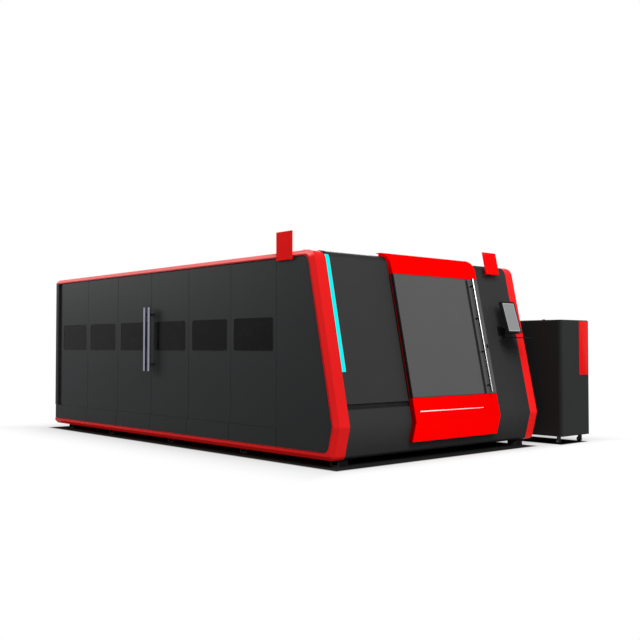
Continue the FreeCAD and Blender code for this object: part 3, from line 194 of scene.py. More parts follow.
def powderCoat(name, colour, peel=0.25, dust=0.04, upwardShade=0.55, aside=1.0, foldedAndShaded=False):
    # sprayed and baked paint: fine orange peel, faint clouds, and painted shade that darkens bends that face the
    # sky
    finish = Finish(name, colour)
    edge = 0.002
    mottle = finish.noise(46.0)
    tone = finish.noise(1.1, 3.0) * 0.65 + mottle * 0.35
    base = finish.mix(tone, 0.86, 1.16)
    specks = finish.noise(210.0, 1.0)
    up = finish.ease(finish.facing(), 0.55, 0.95)
    low = 1 - finish.ease(finish.level, 0.08, 0.42)
    settled = (up * 0.6 + low * 0.5) * finish.ease(specks, 0.35, 0.75)
    # painted shade: faces that look up are darkened by this factor
    base = finish.mix(finish.ease(finish.facing(), 0.3, 0.8), base, upwardShade)
    # painted light and shade: faces that look to -X are darkened or lightened by the factor aside
    if aside != 1:
        base = finish.mix(finish.ease(0 - finish.facing("X"), 0.5, 0.8), base, aside)
    # painted shade: the front is darkened towards its foot, over the levels given in the look
    if foldedAndShaded:
        base = finish.mix(finish.ease(finish.level, *foldAndShadeLook["dark"]), foldAndShadeLook["foot"], base)
    base = finish.mix(settled * dust, base, tint(150, 146, 140))
    base = finish.mix(finish.wear(edge * 1.5) * 0.15, base, 1.8)
    roughness = 0.5 + (mottle - 0.5) * 0.08 + settled * 0.25
    height = finish.noise(330.0) * 0.7 + finish.noise(1400.0, 1.0) * 0.3
    normal = None
    if foldedAndShaded:
        # the front's crease is a wide bend: its normal turns slowly from the slope to the toe
        turned = finish.ease(finish.level, *foldAndShadeLook["bend"]) * (foldAndShadeLook["above"] - foldAndShadeLook["below"])
        bent = finish.node("ShaderNodeCombineXYZ", values={"Y": -0.97, "Z": turned + foldAndShadeLook["below"]})
        flat = finish.ease(0 - finish.facing("Y"), 0.88, 0.94)
        normal = finish.node("ShaderNodeMix", {"data_type": "VECTOR"},
                             {0: flat, 4: finish.rounded(edge), 5: bent}, output=1)
    return finish.surface(base, roughness, finish.bump(height, 0.0004, peel, edge, normal), gloss=0.05)


def glossPaint(name, colour, edge=0.002, gloss=0.1, aside=1.0, lift=0.0, near=None, sheen=None, aloft=None):
    # two-coat signal paint: deep and even, with a soft sheen and a faint ripple
    finish = Finish(name, colour)
    fine = finish.noise(90.0)
    base = finish.mix(finish.noise(2.3, 3.0) * 0.7 + fine * 0.3, 0.93, 1.05)
    low = 1 - finish.ease(finish.level, 0.07, 0.3)
    scuffs = finish.ease(finish.noise(7.0, 4.0, 0.7, (1, 1, 0.3)), 0.62, 0.8)
    base = finish.mix(low * scuffs * 0.25, base, 0.45)
    base = finish.mix(finish.wear(edge * 1.5) * 0.25, base, 0.7)
    if aside < 1:
        # painted shade: the bevels and faces that look sideways are darkened, less so high up where aloft is
        # given
        side = finish.mix(finish.ease(finish.level, *aloft), aside, 0.9) if aloft else aside
        base = finish.mix(finish.ease(0 - finish.facing("X"), 0.25, 0.6), base, side)
    if sheen:
        # painted reflection: the bevels that look up and out are painted pale, like the sky mirrored in them
        upAndOut = finish.ease(finish.facing(), 0.3, 0.6) * finish.ease(0 - finish.facing("X"), 0.3, 0.6)
        base = finish.mix(upAndOut, base, tint(*sheen))
    normal = finish.bump(finish.noise(150.0), 0.0003, 0.14, edge)
    roughness = 0.36 + (fine - 0.5) * 0.05 + scuffs * low * 0.2
    if not lift:
        return finish.surface(base, roughness, normal, gloss=gloss)
    # painted light: a glow keeps the part below the bend, or near the floor, as bright as the rest
    if near:
        below = 1 - finish.ease(finish.level, *near)
    else:
        below = finish.ease(0 - finish.facing(), 0.0, 0.2) * finish.ease(0 - finish.facing("Y"), 0.4, 0.7)
    glow = finish.mix(below, (0, 0, 0, 1), lift)
    return finish.surface(base, roughness, normal, gloss=gloss, glow=glow)


def brushedMetal(name, colour, stretch, rough=0.24, stain=0.1, paintedReflection=None, band=(0.45, 0.85)):
    # a ground or brushed surface, the scratches drawn out along one way; a painted reflection can run along it,
    # with the faces that look away from it darkened
    finish = Finish(name, colour)
    scratches = finish.noise(260.0, 3.0, 0.6, stretch)
    marks = finish.ease(finish.noise(31.0, 4.0, 0.65), 0.55, 0.8)
    base = finish.mix(scratches, 0.82, 1.1)
    base = finish.mix(marks * stain, base, 0.4)
    if paintedReflection:
        # painted reflection: the colour stays bright only on faces that look one way and is darkened on the rest
        lookX, lookY, offReflection = paintedReflection
        towards = finish.facing("X") * lookX + finish.facing("Y") * lookY
        base = finish.mix(finish.ease(towards, *band), offReflection, base)
    roughness = rough + (scratches - 0.5) * 0.16 + finish.noise(5.0, 3.0) * 0.06 + marks * stain
    return finish.surface(base, roughness, finish.bump(scratches, 0.00025, 0.3, 0.001), metallic=1.0)


def castPaint(name, colour):
    # thick machine enamel over a ground casting, with thin oil stains
    finish = Finish(name, colour)
    oil = finish.ease(finish.noise(9.0, 4.0, 0.6, (1, 1, 0.35)), 0.58, 0.78)
    base = finish.mix(finish.noise(2.0, 3.0), 0.88, 1.1)
    base = finish.mix(oil * 0.22, base, 0.45)
    base = finish.mix(finish.wear(0.004) * 0.3, base, 1.6)
    normal = finish.bump(finish.noise(60.0, 3.0, 0.6), 0.0009, 0.35, 0.003)
    return finish.surface(base, 0.46 - oil * 0.14, normal, gloss=0.3)


def darkPane(name, colour):
    # laser-safe glazing: nearly black, smooth, with faint wiping marks and dust
    finish = Finish(name, colour)
    wipes = finish.noise(5.0, 4.0, 0.65, (1, 1, 2.6))
    dust = finish.ease(finish.noise(320.0, 1.0), 0.6, 0.8)
    rise = finish.ease(finish.level, 1.14, 1.5)
    base = finish.mix(rise * 0.7 + wipes * 0.3, 0.9, 1.15)
    base = finish.mix(dust * 0.03, base, tint(190, 188, 180))
    roughness = 0.2 + finish.ease(wipes, 0.45, 0.75) * 0.10 + dust * 0.12
    return finish.surface(base, roughness, finish.bump(wipes, 0.0002, 0.05), alpha=0.97, gloss=0.04)


glazing = {"clear": (74, 74, 74), "stile": (36, 36, 36), "stileEdges": (0.608, 0.652), "soft": 0.005,
           "left": -0.598, "shadow": 0.012, "alpha": 0.96}


def smokedPane(name):
    # the door's glass: an even grey, darker where the stile stands behind it and along its left edge
    finish = Finish(name, glazing["clear"])
    wipes = finish.noise(3.4, 4.0, 0.6, (1, 1, 2.2))
    soft, left = glazing["soft"], glazing["left"]
    base = finish.mix(finish.noise(1.4) * 0.6 + wipes * 0.4, 0.93, 1.07)
    pastLeft, pastRight = (finish.ease(finish.across, edge - soft, edge + soft)
                           for edge in glazing["stileEdges"])
    base = finish.mix(pastLeft * (1 - pastRight), base, tint(*glazing["stile"]))
    nearLeft = 1 - finish.ease(finish.across, left, left + glazing["shadow"])
    base = finish.mix(nearLeft * 0.35, base, tint(40, 40, 40))
    roughness = 0.16 + finish.ease(wipes, 0.45, 0.8) * 0.08
    return finish.surface(base, roughness, finish.bump(wipes, 0.0002, 0.04), alpha=glazing["alpha"],
                          gloss=0.3)


def glowStrip(name, colour):
    # an opal cover over a row of lamps, each lamp a little brighter than the gaps
    finish = Finish(name, colour)
    beat = finish.maths("SINE", finish.level * 95.0) * 0.5 + 0.5
    clouds = finish.noise(60.0, 1.0)
    lit = finish.mix(beat * 0.25 + clouds * 0.1, 0.95, 1.0)
    return finish.surface(tint(6, 30, 30), 0.5, finish.bump(clouds, 0.0003, 0.1), gloss=0.0, glow=lit)


def rubber(name, colour, rough=0.62):
    # extruded or moulded rubber: fine grain with a pale bloom in patches
    finish = Finish(name, colour)
    bloom = finish.noise(14.0, 3.0, 0.6)
    base = finish.mix(finish.ease(bloom, 0.4, 0.8) * 0.6, 1.0, 2.2)
    normal = finish.bump(finish.noise(700.0), 0.0004, 0.4, 0.0015)
    return finish.surface(base, rough + bloom * 0.12, normal, gloss=0.08)


def mouldedPlastic(name, colour, rough=0.45, gloss=0.12):
    # spark-eroded texture of a moulded housing, polished a little on its corners
    finish = Finish(name, colour)
    grain = finish.noise(520.0, 3.0, 0.7)
    base = finish.mix(finish.noise(6.0) * 0.6 + grain * 0.4, 0.85, 1.2)
    worn = finish.wear(0.002)
    base = finish.mix(worn * 0.3, base, 2.0)
    normal = finish.bump(grain, 0.0005, 0.4, 0.002)
    return finish.surface(base, rough + (grain - 0.5) * 0.1 - worn * 0.1, normal, gloss=gloss)


def zincSheet(name):
    # hot-dip galvanised sheet: large grey crystals, each with a tone of its own
    finish = Finish(name)
    flake = finish.node("ShaderNodeTexVoronoi", values={"Vector": finish.place, "Scale": 42.0}, output="Color")
    tone = finish.part(flake, "X")
    soot = finish.ease(finish.noise(4.0, 4.0, 0.6), 0.45, 0.75)
    base = finish.mix(tone, tint(128, 131, 134), tint(168, 171, 173))
    base = finish.mix(soot * 0.5, base, tint(62, 58, 54))
    normal = finish.bump(tone, 0.0003, 0.2, 0.001)
    return finish.surface(base, 0.36 + tone * 0.14 + soot * 0.2, normal, metallic=0.85)


def burntSlat(name):
    # mild steel blades: blue-brown scorched teeth with beads of slag, dull mill scale below
    finish = Finish(name)
    scale = finish.noise(24.0, 4.0, 0.65, (1, 1, 2))
    beads = finish.ease(finish.noise(240.0), 0.62, 0.72)
    burnt = finish.ease(finish.level, 0.795, 0.842) * (0.55 + scale * 0.6)
    base = finish.mix(scale, tint(92, 90, 88), tint(138, 134, 130))
    base = finish.mix(burnt, base, tint(74, 58, 50))
    base = finish.mix(beads * burnt * 0.8, base, tint(30, 27, 26))
    normal = finish.bump(scale * 0.5 + beads * burnt, 0.0012, 0.5, 0.001)
    return finish.surface(base, 0.42 + scale * 0.2 + burnt * 0.2, normal, metallic=0.7)


screenLook = {"field": (145, 146, 147), "line": (192, 193, 194), "border": 0.0075, "lineWidth": 0.007}


def litScreen(name, low, high):
    # an idle display, evenly lit, with a thin paler line just inside its edge
    finish = Finish(name)
    inset = screenLook["border"]
    toSide = finish.maths("MINIMUM", finish.across - low.x, high.x - finish.across)
    toEnd = finish.maths("MINIMUM", finish.level - low.z, high.z - finish.level)
    depth = finish.maths("MINIMUM", toSide, toEnd)
    onLine = (depth > inset) * (depth < inset + screenLook["lineWidth"])
    dots = finish.noise(900.0, 1.0)
    lit = finish.mix(onLine, tint(*screenLook["field"]), tint(*screenLook["line"]))
    lit = finish.mix(dots * 0.05, lit, tint(120, 121, 122))
    lit = finish.mix(depth > inset, (0, 0, 0, 1), lit)
    return finish.surface(tint(10, 10, 11), 0.18, finish.bump(dots, 0.0001, 0.05), gloss=0.1, glow=lit,
                          strength=0.95)


finishes = {}
bare = set(cadNodes)


def dress(material, *names):
    # keeps a finish under its own name and puts it on the CAD nodes that wear it
    finishes[material.name] = material
    for name in names:
        cadNodes[name].data.materials.clear()
        cadNodes[name].data.materials.append(material)
        bare.discard(name)


dress(powderCoat("sidePaint", (43, 44, 45)), "left_panel_1", "left_panel_2", "left_panel_5", "left_panel_6",
      "left_front_panel", "side_skirts", "left_door_front_leaf", "left_door_rear_leaf", "right_panels",
      "rear_panels", "rear_columns")
# painted shade: the front's faces that look up are darkened more, and it darkens towards its foot
dress(powderCoat("frontPaint", (50, 50, 50), upwardShade=0.3, foldedAndShaded=True), "front_left_cover", "front_right_cover",
      "front_header", "front_sill")
dress(powderCoat("roofPaint", (42, 43, 44), dust=0.14), "roof_panels")
# painted shade: the cabinet's face towards -X is darkened
dress(powderCoat("cabinetPaint", (42, 43, 43), aside=0.6), "cabinet_body")
# painted light: the feet's faces towards -X are lightened many times over, the rest stays near black
dress(powderCoat("footPaint", (16, 16, 17), peel=0.4, aside=13.0), "levelling_feet")
dress(powderCoat("framePaint", (22, 22, 23), peel=0.4, dust=0.12), "base_frame", "wall_frame", "roof_beams",
      "door_pivots")
dress(powderCoat("bracketPaint", (20, 20, 21), dust=0.03), "screen_bracket", "screen_arm", "keyboard_shelf",
      "cabinet_knob")
# painted shade on the sideways faces, a painted reflection on the top bevels and painted light near the floor
dress(glossPaint("signalRed", (217, 26, 26), gloss=0.05, aside=0.88, lift=0.2, near=(0.08, 0.75),
                 sheen=(250, 112, 110)), "left_trim")
dress(glossPaint("signRed", (255, 3, 3), gloss=0.02), "sign_plates")
# painted light: the right trim is the left trim's red painted lighter, as less lamp light reaches it, with a glow
# near the floor
dress(glossPaint("rightRedPaintedLight", (255, 32, 32), gloss=0.05, lift=0.16, near=(0.1, 1.6)), "right_trim")
# painted shade on the door's side flank, lighter high up, and painted light below the bend
dress(glossPaint("doorRed", (255, 2, 2), gloss=0.0, aside=0.32, lift=0.3, aloft=(1.9, 2.14)), "door_shell")
dress(glossPaint("stripeRed", (250, 6, 6), edge=0.001, gloss=0.06), "cabinet_stripe")
dress(glossPaint("whiteVinyl", (250, 240, 240), edge=0.0005))
dress(glossPaint("lipRed", (120, 14, 14), edge=0.0005, gloss=0.05))
dress(castPaint("machineEnamel", (150, 153, 155)), "bed", "gantry_beam", "lift_slide")
dress(castPaint("darkEnamel", (58, 60, 63)), "table_frame", "gantry_trucks", "carriage")
dress(brushedMetal("railSteel", (172, 174, 176), (1, 0.03, 1), rough=0.22), "y_rails")
dress(brushedMetal("trackSteel", (240, 240, 241), (0.03, 1, 1), rough=0.1, stain=0.02), "door_track")
dress(brushedMetal("crossSteel", (172, 174, 176), (0.03, 1, 1), rough=0.22), "door_rollers")
# painted reflection along the pull tubes of the side leaves and the door
dress(brushedMetal("pullTube", (140, 140, 158), (1, 1, 0.02), stain=0.03, paintedReflection=(-0.8, -0.6, 0.12)),
      "left_door_front_handle", "left_door_rear_handle")
dress(brushedMetal("doorTube", (206, 206, 210), (1, 1, 0.02), rough=0.18, stain=0.02,
                   paintedReflection=(-0.45, -0.89, 0.03), band=(0.86, 0.97)), "door_handle")
dress(brushedMetal("turnedSteel", (178, 180, 182), (1, 1, 0.1)), "cutting_head")
dress(brushedMetal("zincFork", (70, 71, 73), (1, 1, 0.3), rough=0.4, stain=0.25), "caster_fork_front_left",
      "caster_fork_front_right", "caster_forks_rear")
dress(brushedMetal("copper", (196, 120, 84), (1, 1, 0.1), rough=0.25))
dress(brushedMetal("darkScrew", (74, 75, 77), (1, 1, 0.4), rough=0.35, stain=0.2))
dress(burntSlat("slatSteel"), "slats")
dress(zincSheet("traySheet"), "scrap_tray")
dress(darkPane("sidePane", (13, 15, 13)), "left_windows", "left_door_front_window", "left_door_rear_window")
dress(smokedPane("doorPane"), "door_glass")
dress(glowStrip("glow", (0, 255, 255)), "status_light")
dress(rubber("blackRubber", (14, 14, 15)))
# a dark rubber that stands in for the shade in the guide groove
dress(rubber("grooveShadeRubber", (23, 23, 23)))
dress(rubber("jointRubber", (34, 35, 36)))
dress(rubber("tyreRubber", (22, 22, 23), 0.55), "caster_wheel_front_left", "caster_wheel_front_right",
      "caster_wheel_rear_left", "caster_wheel_rear_right")
dress(mouldedPlastic("screenShell", (28, 28, 29)), "screen_housing")
dress(mouldedPlastic("bezelBlack", (8, 8, 9), rough=0.35, gloss=0.06))
dress(mouldedPlastic("ceramic", (214, 210, 198), rough=0.5))
dress(litScreen("display", *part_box("screen_glass")), "screen_glass")
print("materials made:", len(finishes), "nodes left bare:", sorted(bare))


def added(name, data):
    thing = bpy.data.objects.new(name, data)
    bpy.context.scene.collection.objects.link(thing)
    return thing


class Mould:
    # gathers the solids of one piece in one mesh
    def __init__(self):
        self.mesh = bmesh.new()

    def ring(self, matrix, radius, height, around):
        # a ring of points, or a single one where the radius is nought
        angles = (step * tau / around for step in range(around if radius else 1))
        return [self.mesh.verts.new(matrix @ Vector((radius * cos(angle), radius * sin(angle), height)))
                for angle in angles]

    def skin(self, first, second):
        # faces between two rings, where either may be a single point
        for step in range(max(len(first), len(second))):
            corners = [first[step % len(first)], first[(step + 1) % len(first)],
                       second[(step + 1) % len(second)], second[step % len(second)]]
            self.mesh.faces.new(list(dict.fromkeys(corners)))

    def turned(self, rings, place, axis=(0, 0, 1), around=24):
        # a lathe-turned solid: rings of radius and height along its axis
        turn = Vector((0, 0, 1)).rotation_difference(Vector(axis).normalized()).to_matrix().to_4x4()
        matrix = Matrix.Translation(Vector(place)) @ turn
        made = [self.ring(matrix, radius, height, around) for radius, height in rings]
        for first, second in zip(made, made[1:]):
            self.skin(first, second)

    def loft(self, loops, ends=False):
        # faces along a row of loops of points, and over both ends of a closed solid
        rows = [[self.mesh.verts.new(point) for point in loop] for loop in loops]
        for first, second in zip(rows, rows[1:]):
            self.skin(first, second)
        if ends:
            self.mesh.faces.new(rows[0])
            self.mesh.faces.new(rows[-1])

    def slab(self, size, place, turn=Matrix(), soft=0.001, steps=2):
        # a block with rounded edges, from its middle
        matrix = Matrix.Translation(Vector(place)) @ turn @ Matrix.Diagonal(Vector((*size, 1.0)))
        made = bmesh.ops.create_cube(self.mesh, size=1.0, matrix=matrix)
        edges = list({edge for vert in made["verts"] for edge in vert.link_edges})
        bmesh.ops.bevel(self.mesh, geom=edges, offset=soft, segments=steps, affect="EDGES", profile=0.5)

    def slopeBlock(self, low, high, soft=0.0006, steps=2):
        # a block over the sloped front between two corners, each given across, up and out
        across, up, out = (end - start for start, end in zip(low, high))
        middle = ((start + end) / 2 for start, end in zip(low, high))
        self.slab((across, out, up), onSlope(*middle), slopeTurn, soft, steps)

    def button(self, place, axis, radius, height):
        # a domed screw head with a hexagon socket
        socket = [(0, 0.35), (0.42, 0.35), (0.46, 0.95), (0.55, 1.0)]
        dome = [(0.78, 0.86), (0.94, 0.5), (1.0, 0.1), (1.0, -0.3)]
        self.turned([(radius * r, height * h) for r, h in socket + dome], place, axis, 12)

    def hexBolt(self, place, axis, radius, height):
        rings = [(radius, -0.001), (radius, height * 0.8), (radius * 0.9, height), (0, height)]
        self.turned(rings, place, axis, 6)

    def done(self, name, material, rider, slot):
        # smooth faces, parted where they meet at more than the crisp angle
        crisp = radians(35)
        bmesh.ops.recalc_face_normals(self.mesh, faces=self.mesh.faces)
        for edge in self.mesh.edges:
            edge.smooth = len(edge.link_faces) != 2 or edge.calc_face_angle(0) < crisp
        for face in self.mesh.faces:
            face.smooth = True
        data = bpy.data.meshes.new(name)
        self.mesh.to_mesh(data)
        self.mesh.free()
        piece = added(name, data)
        data.materials.append(finishes[material])
        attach(piece, rider)
        return piece


def roundedLoops(low, high, radius, form, place, spin=6):
    # loops of a rectangle with rounded corners, one for each inset and rise in its form
    loops = []
    for inset, rise in form:
        bend = max(radius - inset, 0.001)
        left, right = low[0] + inset + bend, high[0] - inset - bend
        foot, head = low[1] + inset + bend, high[1] - inset - bend
        loop = []
        for corner, (x, y) in enumerate(((right, head), (left, head), (left, foot), (right, foot))):
            for step in range(spin + 1):
                angle = radians(90 * (corner + step / spin))
                loop.append(place(x + bend * cos(angle), y + bend * sin(angle), rise))
        loops.append(loop)
    return loops


tubePlug = {"share": 0.98, "sink": -0.002, "height": 0.004,
            "dome": [(1.0, 0.0), (1.0, 0.15), (0.92, 0.5), (0.7, 0.8), (0.35, 0.97), (0, 1.0)]}


def plugTube(name, radius, ends, rider):
    # domed plugs in a pull tube; ends pairs each place with the way out of the tube
    plugs = Mould()
    wide = radius * tubePlug["share"]
    rings = [(wide, tubePlug["sink"])] + [(wide * r, tubePlug["height"] * h) for r, h in tubePlug["dome"]]
    for place, out in ends:
        plugs.turned(rings, place, out)
    plugs.done(name, "screenShell", rider, "black_paint")


# windows: a black rubber profile pressed in between each pane and its panel
windowSeal = {"corner": 0.026,
              "form": ((0.0035, 0.0), (0.0027, 0.0016), (0.0, 0.0022), (-0.0027, 0.0016), (-0.0035, 0.0))}
paneLow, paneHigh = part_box("left_door_front_window")
half = (paneHigh.y - paneLow.y) / 2
for number, panel in enumerate(("left_panel_1", "left_panel_2", "left_door_front_leaf", "left_door_rear_leaf",
                                "left_panel_5", "left_panel_6"), 1):
    low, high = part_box(panel)
    middle = (low.y + high.y) / 2
    gasket = Mould()
    gasket.loft(roundedLoops((middle - half, paneLow.z), (middle + half, paneHigh.z), windowSeal["corner"],
                             windowSeal["form"], lambda y, z, rise: (low.x - rise, y, z)))
    rider = panel.removesuffix("_leaf") if "leaf" in panel else "machine"
    gasket.done(f"windowGasket{number}", "blackRubber", rider, "rubber")
print("window gaskets fitted")

# pull tubes of the side leaves: plugs in their ends and a rosette under each stand-off
pullTube = {"radius": 0.0175, "post": 0.008, "postInset": 0.087, "rosette": 0.017}
post, rosette = pullTube["post"], pullTube["rosette"]
for side in ("front", "rear"):
    rider = f"left_door_{side}"
    low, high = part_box(f"{rider}_handle")
    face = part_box(f"{rider}_leaf")[0].x
    x, y = low.x + pullTube["radius"], (low.y + high.y) / 2
    plugTube(f"pullPlugs{side.capitalize()}", pullTube["radius"], (((x, y, high.z), (0, 0, 1)),
                                                                  ((x, y, low.z), (0, 0, -1))), rider)
    rosettes = Mould()
    for level in (low.z + pullTube["postInset"], high.z - pullTube["postInset"]):
        rosettes.turned([(0, 0.0055), (post * 1.05, 0.0055), (post * 1.25, 0.005), (rosette * 0.93, 0.0035),
                         (rosette, 0.002), (rosette, -0.001)], (face, y, level), (-1, 0, 0), 32)
        rosettes.turned([(post * 1.5, 0.0), (post * 1.6, 0.004), (post * 1.1, 0.010), (post * 1.02, 0.012)],
                        (x + pullTube["radius"] * 0.8, y, level), (1, 0, 0))
    rosettes.done(f"pullRosettes{side.capitalize()}", "bracketPaint", rider, "steel")
print("side pulls finished")

# sliding door: gasket round the glass, pinstripe on the lower band, plugs and mounts of its pull, latch
door = {"proud": 0.060, "edge": -0.607, "left": -0.598, "right": 0.835, "foot": 0.245, "head": 1.5995}
doorSeal = {"lip": (-0.001, 0.013), "side": (-0.0014, 0.0002), "gapShadeStrip": (0.006, 0.020), "wrap": 0.029,
            "under": 0.0002, "over": 0.0014, "ends": 0.005, "endUnder": 0.0003, "endOver": 0.0011}
foot, head, proud = door["foot"], door["head"], door["proud"]
over, ends = proud + doorSeal["over"], doorSeal["ends"]
seal = Mould()
# the last span is a black strip on the door's left flank next to the cover, a painted shadow for the gap there
for span, low, high in (("lip", proud - doorSeal["under"], over), ("side", over - doorSeal["wrap"], over),
                        ("side", *doorSeal["gapShadeStrip"])):
    left, right = (door["edge"] + aside for aside in doorSeal[span])
    seal.slopeBlock((left, foot, low), (right, head, high))
for up in (foot, head - ends):
    seal.slopeBlock((door["left"], up, proud - doorSeal["endUnder"]),
                    (door["right"], up + ends, proud + doorSeal["endOver"]), 0.0005)
seal.done("doorSeal", "blackRubber", "front_door", "rubber")

# each end of the pinstripe is its place across, its place up the slope and its height there
pinstripe = {"left": (-0.518, 0.099, 0.012), "right": (0.546, 0.093, 0.005), "steps": 24,
             "sunk": proud - 0.0005, "face": proud + 0.0004}
loops = []
for step in range(pinstripe["steps"] + 1):
    across, up, height = Vector(pinstripe["left"]).lerp(Vector(pinstripe["right"]), step / pinstripe["steps"])
    loops.append([onSlope(across, up + side * height / 2, pinstripe[rim])
                  for side, rim in ((-1, "sunk"), (-1, "face"), (1, "face"), (1, "sunk"))])
stripe = Mould()
stripe.loft(loops)
stripe.done("doorPinstripe", "whiteVinyl", "front_door", "bright_tube")

pull = {"across": 0.694, "foot": 0.262, "head": 1.5897, "out": 0.105, "radius": 0.015,
        "shares": (0.06, 0.355, 0.65, 0.94)}
plugTube("doorPullPlugs", pull["radius"],
         [(onSlope(pull["across"], pull[end], pull["out"]), way)
          for end, way in (("head", slopeUp), ("foot", -slopeUp))], "front_door")
mounts = Mould()
for share in pull["shares"]:
    up = pull["foot"] + (pull["head"] - pull["foot"]) * share
    mounts.turned([(0, 0.006), (0.0085, 0.006), (0.0095, 0.005), (0.012, 0.003), (0.013, 0.002), (0.013, -0.001)],
                  onSlope(pull["across"], up, proud), slopeOut, 32)
    mounts.turned([(0.01, 0.0), (0.01, 0.006), (0.009, 0.011), (0.0083, 0.012)],
                  onSlope(pull["across"], up, pull["out"] - pull["radius"] * 0.8), -slopeOut)
mounts.done("doorPullMounts", "bracketPaint", "front_door", "black_paint")

latch = {"middle": (0.811, 0.80), "half": (0.013, 0.022), "sunk": proud - 0.0005, "face": proud + 0.0045}
(across, up), (wide, high) = latch["middle"], latch["half"]
lock = Mould()
lock.slopeBlock((across - wide, up - high, latch["sunk"]), (across + wide, up + high, latch["face"]), 0.0015)
lock.turned([(0, 0.0004), (0.0035, 0.0004), (0.0042, 0.0022), (0.0078, 0.0022), (0.0086, 0.0012),
             (0.0086, -0.0005)], onSlope(across, up, latch["face"] - 0.0001), slopeOut)
lock.done("doorLatch", "bracketPaint", "front_door", "black_paint")
print("sliding door dressed")

# lamp strip: a thin lip on each side of its lens, along the slope and round the roof edge
lamp = {"lens": (-1.501, -1.447), "foot": 0.550, "sink": 0.001, "proud": 0.0052, "width": 0.0035,
        "wide": 0.0095, "lap": 0.001, "roofRadius": 0.120, "bends": 10, "end": 40}
arcLevel = body["roofLevel"] - lamp["roofRadius"]
arcUp = (arcLevel - front["creaseLevel"] + lamp["roofRadius"] * sin(lean)) / cos(lean)
arcMiddle = onSlope(0.0, arcUp, -lamp["roofRadius"])


def roundRoof(angle, out):
    # a point over the bend between the slope and the roof
    return arcMiddle + Vector((0, -cos(angle), sin(angle))) * (lamp["roofRadius"] + out)


def lampPath(out):
    bend = (radians(lamp["end"]) - lean) / lamp["bends"]
    return [onSlope(0.0, lamp["foot"], out)] + [roundRoof(lean + bend * step, out)
                                                for step in range(lamp["bends"] + 1)]


for name, across, width, material in (
        ("lampLipLeft", lamp["lens"][0] - lamp["width"] / 2, lamp["width"], "signalRed"),
        ("lampLipRight", lamp["lens"][1] + lamp["lap"], lamp["wide"], "lipRed")):
    lip = Mould()
    half = Vector((width / 2, 0, 0))
    middle = Vector((across, 0, 0))
    path = zip(lampPath(-lamp["sink"]), lampPath(lamp["proud"]))
    lip.loft([[middle + inner - half, middle + outer - half * 0.7, middle + outer + half * 0.7,
               middle + inner + half] for inner, outer in path])
    lip.done(name, material, "machine", "red_paint")
print("lamp strip framed")

# liners: a dark run in the guide groove that stands in for the shade in it, and a seal over the joint below each
# rear column
liner = {"left": -1.495, "right": -0.592, "foot": 0.1706, "head": 0.2244, "floor": -0.016, "face": -0.0151}
strip = Mould()
strip.slopeBlock((liner["left"], liner["foot"], liner["floor"]), (liner["right"], liner["head"], liner["face"]),
                 0.0003, 1)
strip.done("grooveShadeLiner", "grooveShadeRubber", "machine", "rubber")
columnSeal = {"across": 1.660, "thick": 0.020, "start": 0.122, "end": 0.004}
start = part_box("rear_columns")[0] + Vector((0, columnSeal["start"], 0))
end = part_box("rear_columns")[1].y - columnSeal["end"]
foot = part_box("side_skirts")[1].z
joint = Mould()
for side in (-1, 1):
    joint.slab((columnSeal["thick"], end - start.y, start.z - foot),
               (side * columnSeal["across"], (start.y + end) / 2, (start.z + foot) / 2), soft=0.0005, steps=1)
joint.done("columnSeals", "blackRubber", "machine", "rubber")

# the lens ends under a dark cap at the roof's edge, which runs a little past the bend
lampCap = {"proud": 0.0051, "steps": 6, "past": 0.005, "slant": 0.002}
left = lamp["lens"][0] - lamp["width"]
right = lamp["lens"][1] + lamp["lap"] + lamp["wide"] / 2
loops = []
for step in range(lampCap["steps"] + 2):
    angle = radians(lamp["end"] + (90 - lamp["end"]) * min(step / lampCap["steps"], 1.0))
    past = Vector((0, lampCap["past"] if step > lampCap["steps"] else 0.0, 0))
    low, high = (roundRoof(angle, out) + past for out in (-lamp["sink"], lampCap["proud"]))
    loops.append([Vector((left, low.y, low.z)), Vector((left + lampCap["slant"], high.y, high.z)),
                  Vector((right - lampCap["slant"], high.y, high.z)), Vector((right, low.y, low.z))])
cap = Mould()
cap.loft(loops, ends=True)
cap.done("lampCap", "bracketPaint", "machine", "black_paint")

# side panels: a dark sealant in the joints, and a thin black edge along the inside of the red trim that stands in
# for the shade in the gap there
sealant = {"depth": 1.6708, "thick": 0.004, "foot": 0.342, "head": 2.104, "joint": 0.0056, "low": 0.336,
           "leafFoot": 0.3415, "leafSeam": 0.3685, "leafJoint": 0.0028}
rightSeams = (-2.118, -1.314, -0.472, 0.370, 1.212, 2.054)
uprights = {-1: [(-2.118, 1.0), (-1.314, 1.0), (-0.4735, 0.5), (1.2135, 0.5), (2.054, 1.0)],
            1: [(y, 1.0) for y in rightSeams]}
skirtRuns = ((-1, -2.115, -0.478, "foot"), (-1, -0.42, 1.16, "leafFoot"), (-1, 1.218, 2.855, "foot"),
             (1, -2.115, 2.855, "foot"))


def fillJoint(mould, side, y, width, foot, head):
    mould.slab((sealant["thick"], width, head - foot), (side * sealant["depth"], y, (foot + head) / 2),
               soft=0.0003, steps=1)


joints = Mould()
for side, seams in uprights.items():
    for y, share in seams:
        fillJoint(joints, side, y, sealant["joint"] * share, sealant["foot"], sealant["head"])
for side, start, end, rim in skirtRuns:
    fillJoint(joints, side, (start + end) / 2, end - start, sealant["low"], sealant[rim])
joints.done("panelJoints", "jointRubber", "machine", "rubber")
joints = Mould()
fillJoint(joints, -1, sealant["leafSeam"], sealant["leafJoint"], sealant["foot"], sealant["head"])
joints.done("leafJoint", "jointRubber", "left_door_front", "rubber")

trim = {"inset": 0.072, "foot": 0.145, "head": 2.110, "radius": 0.085, "gap": 0.0007, "width": 0.0045,
        "under": 1.6795, "over": 1.6809, "rear": 3.048, "steps": 8}
toeLean = atan2(front["toeSetback"], front["creaseLevel"] - body["baseLevel"])


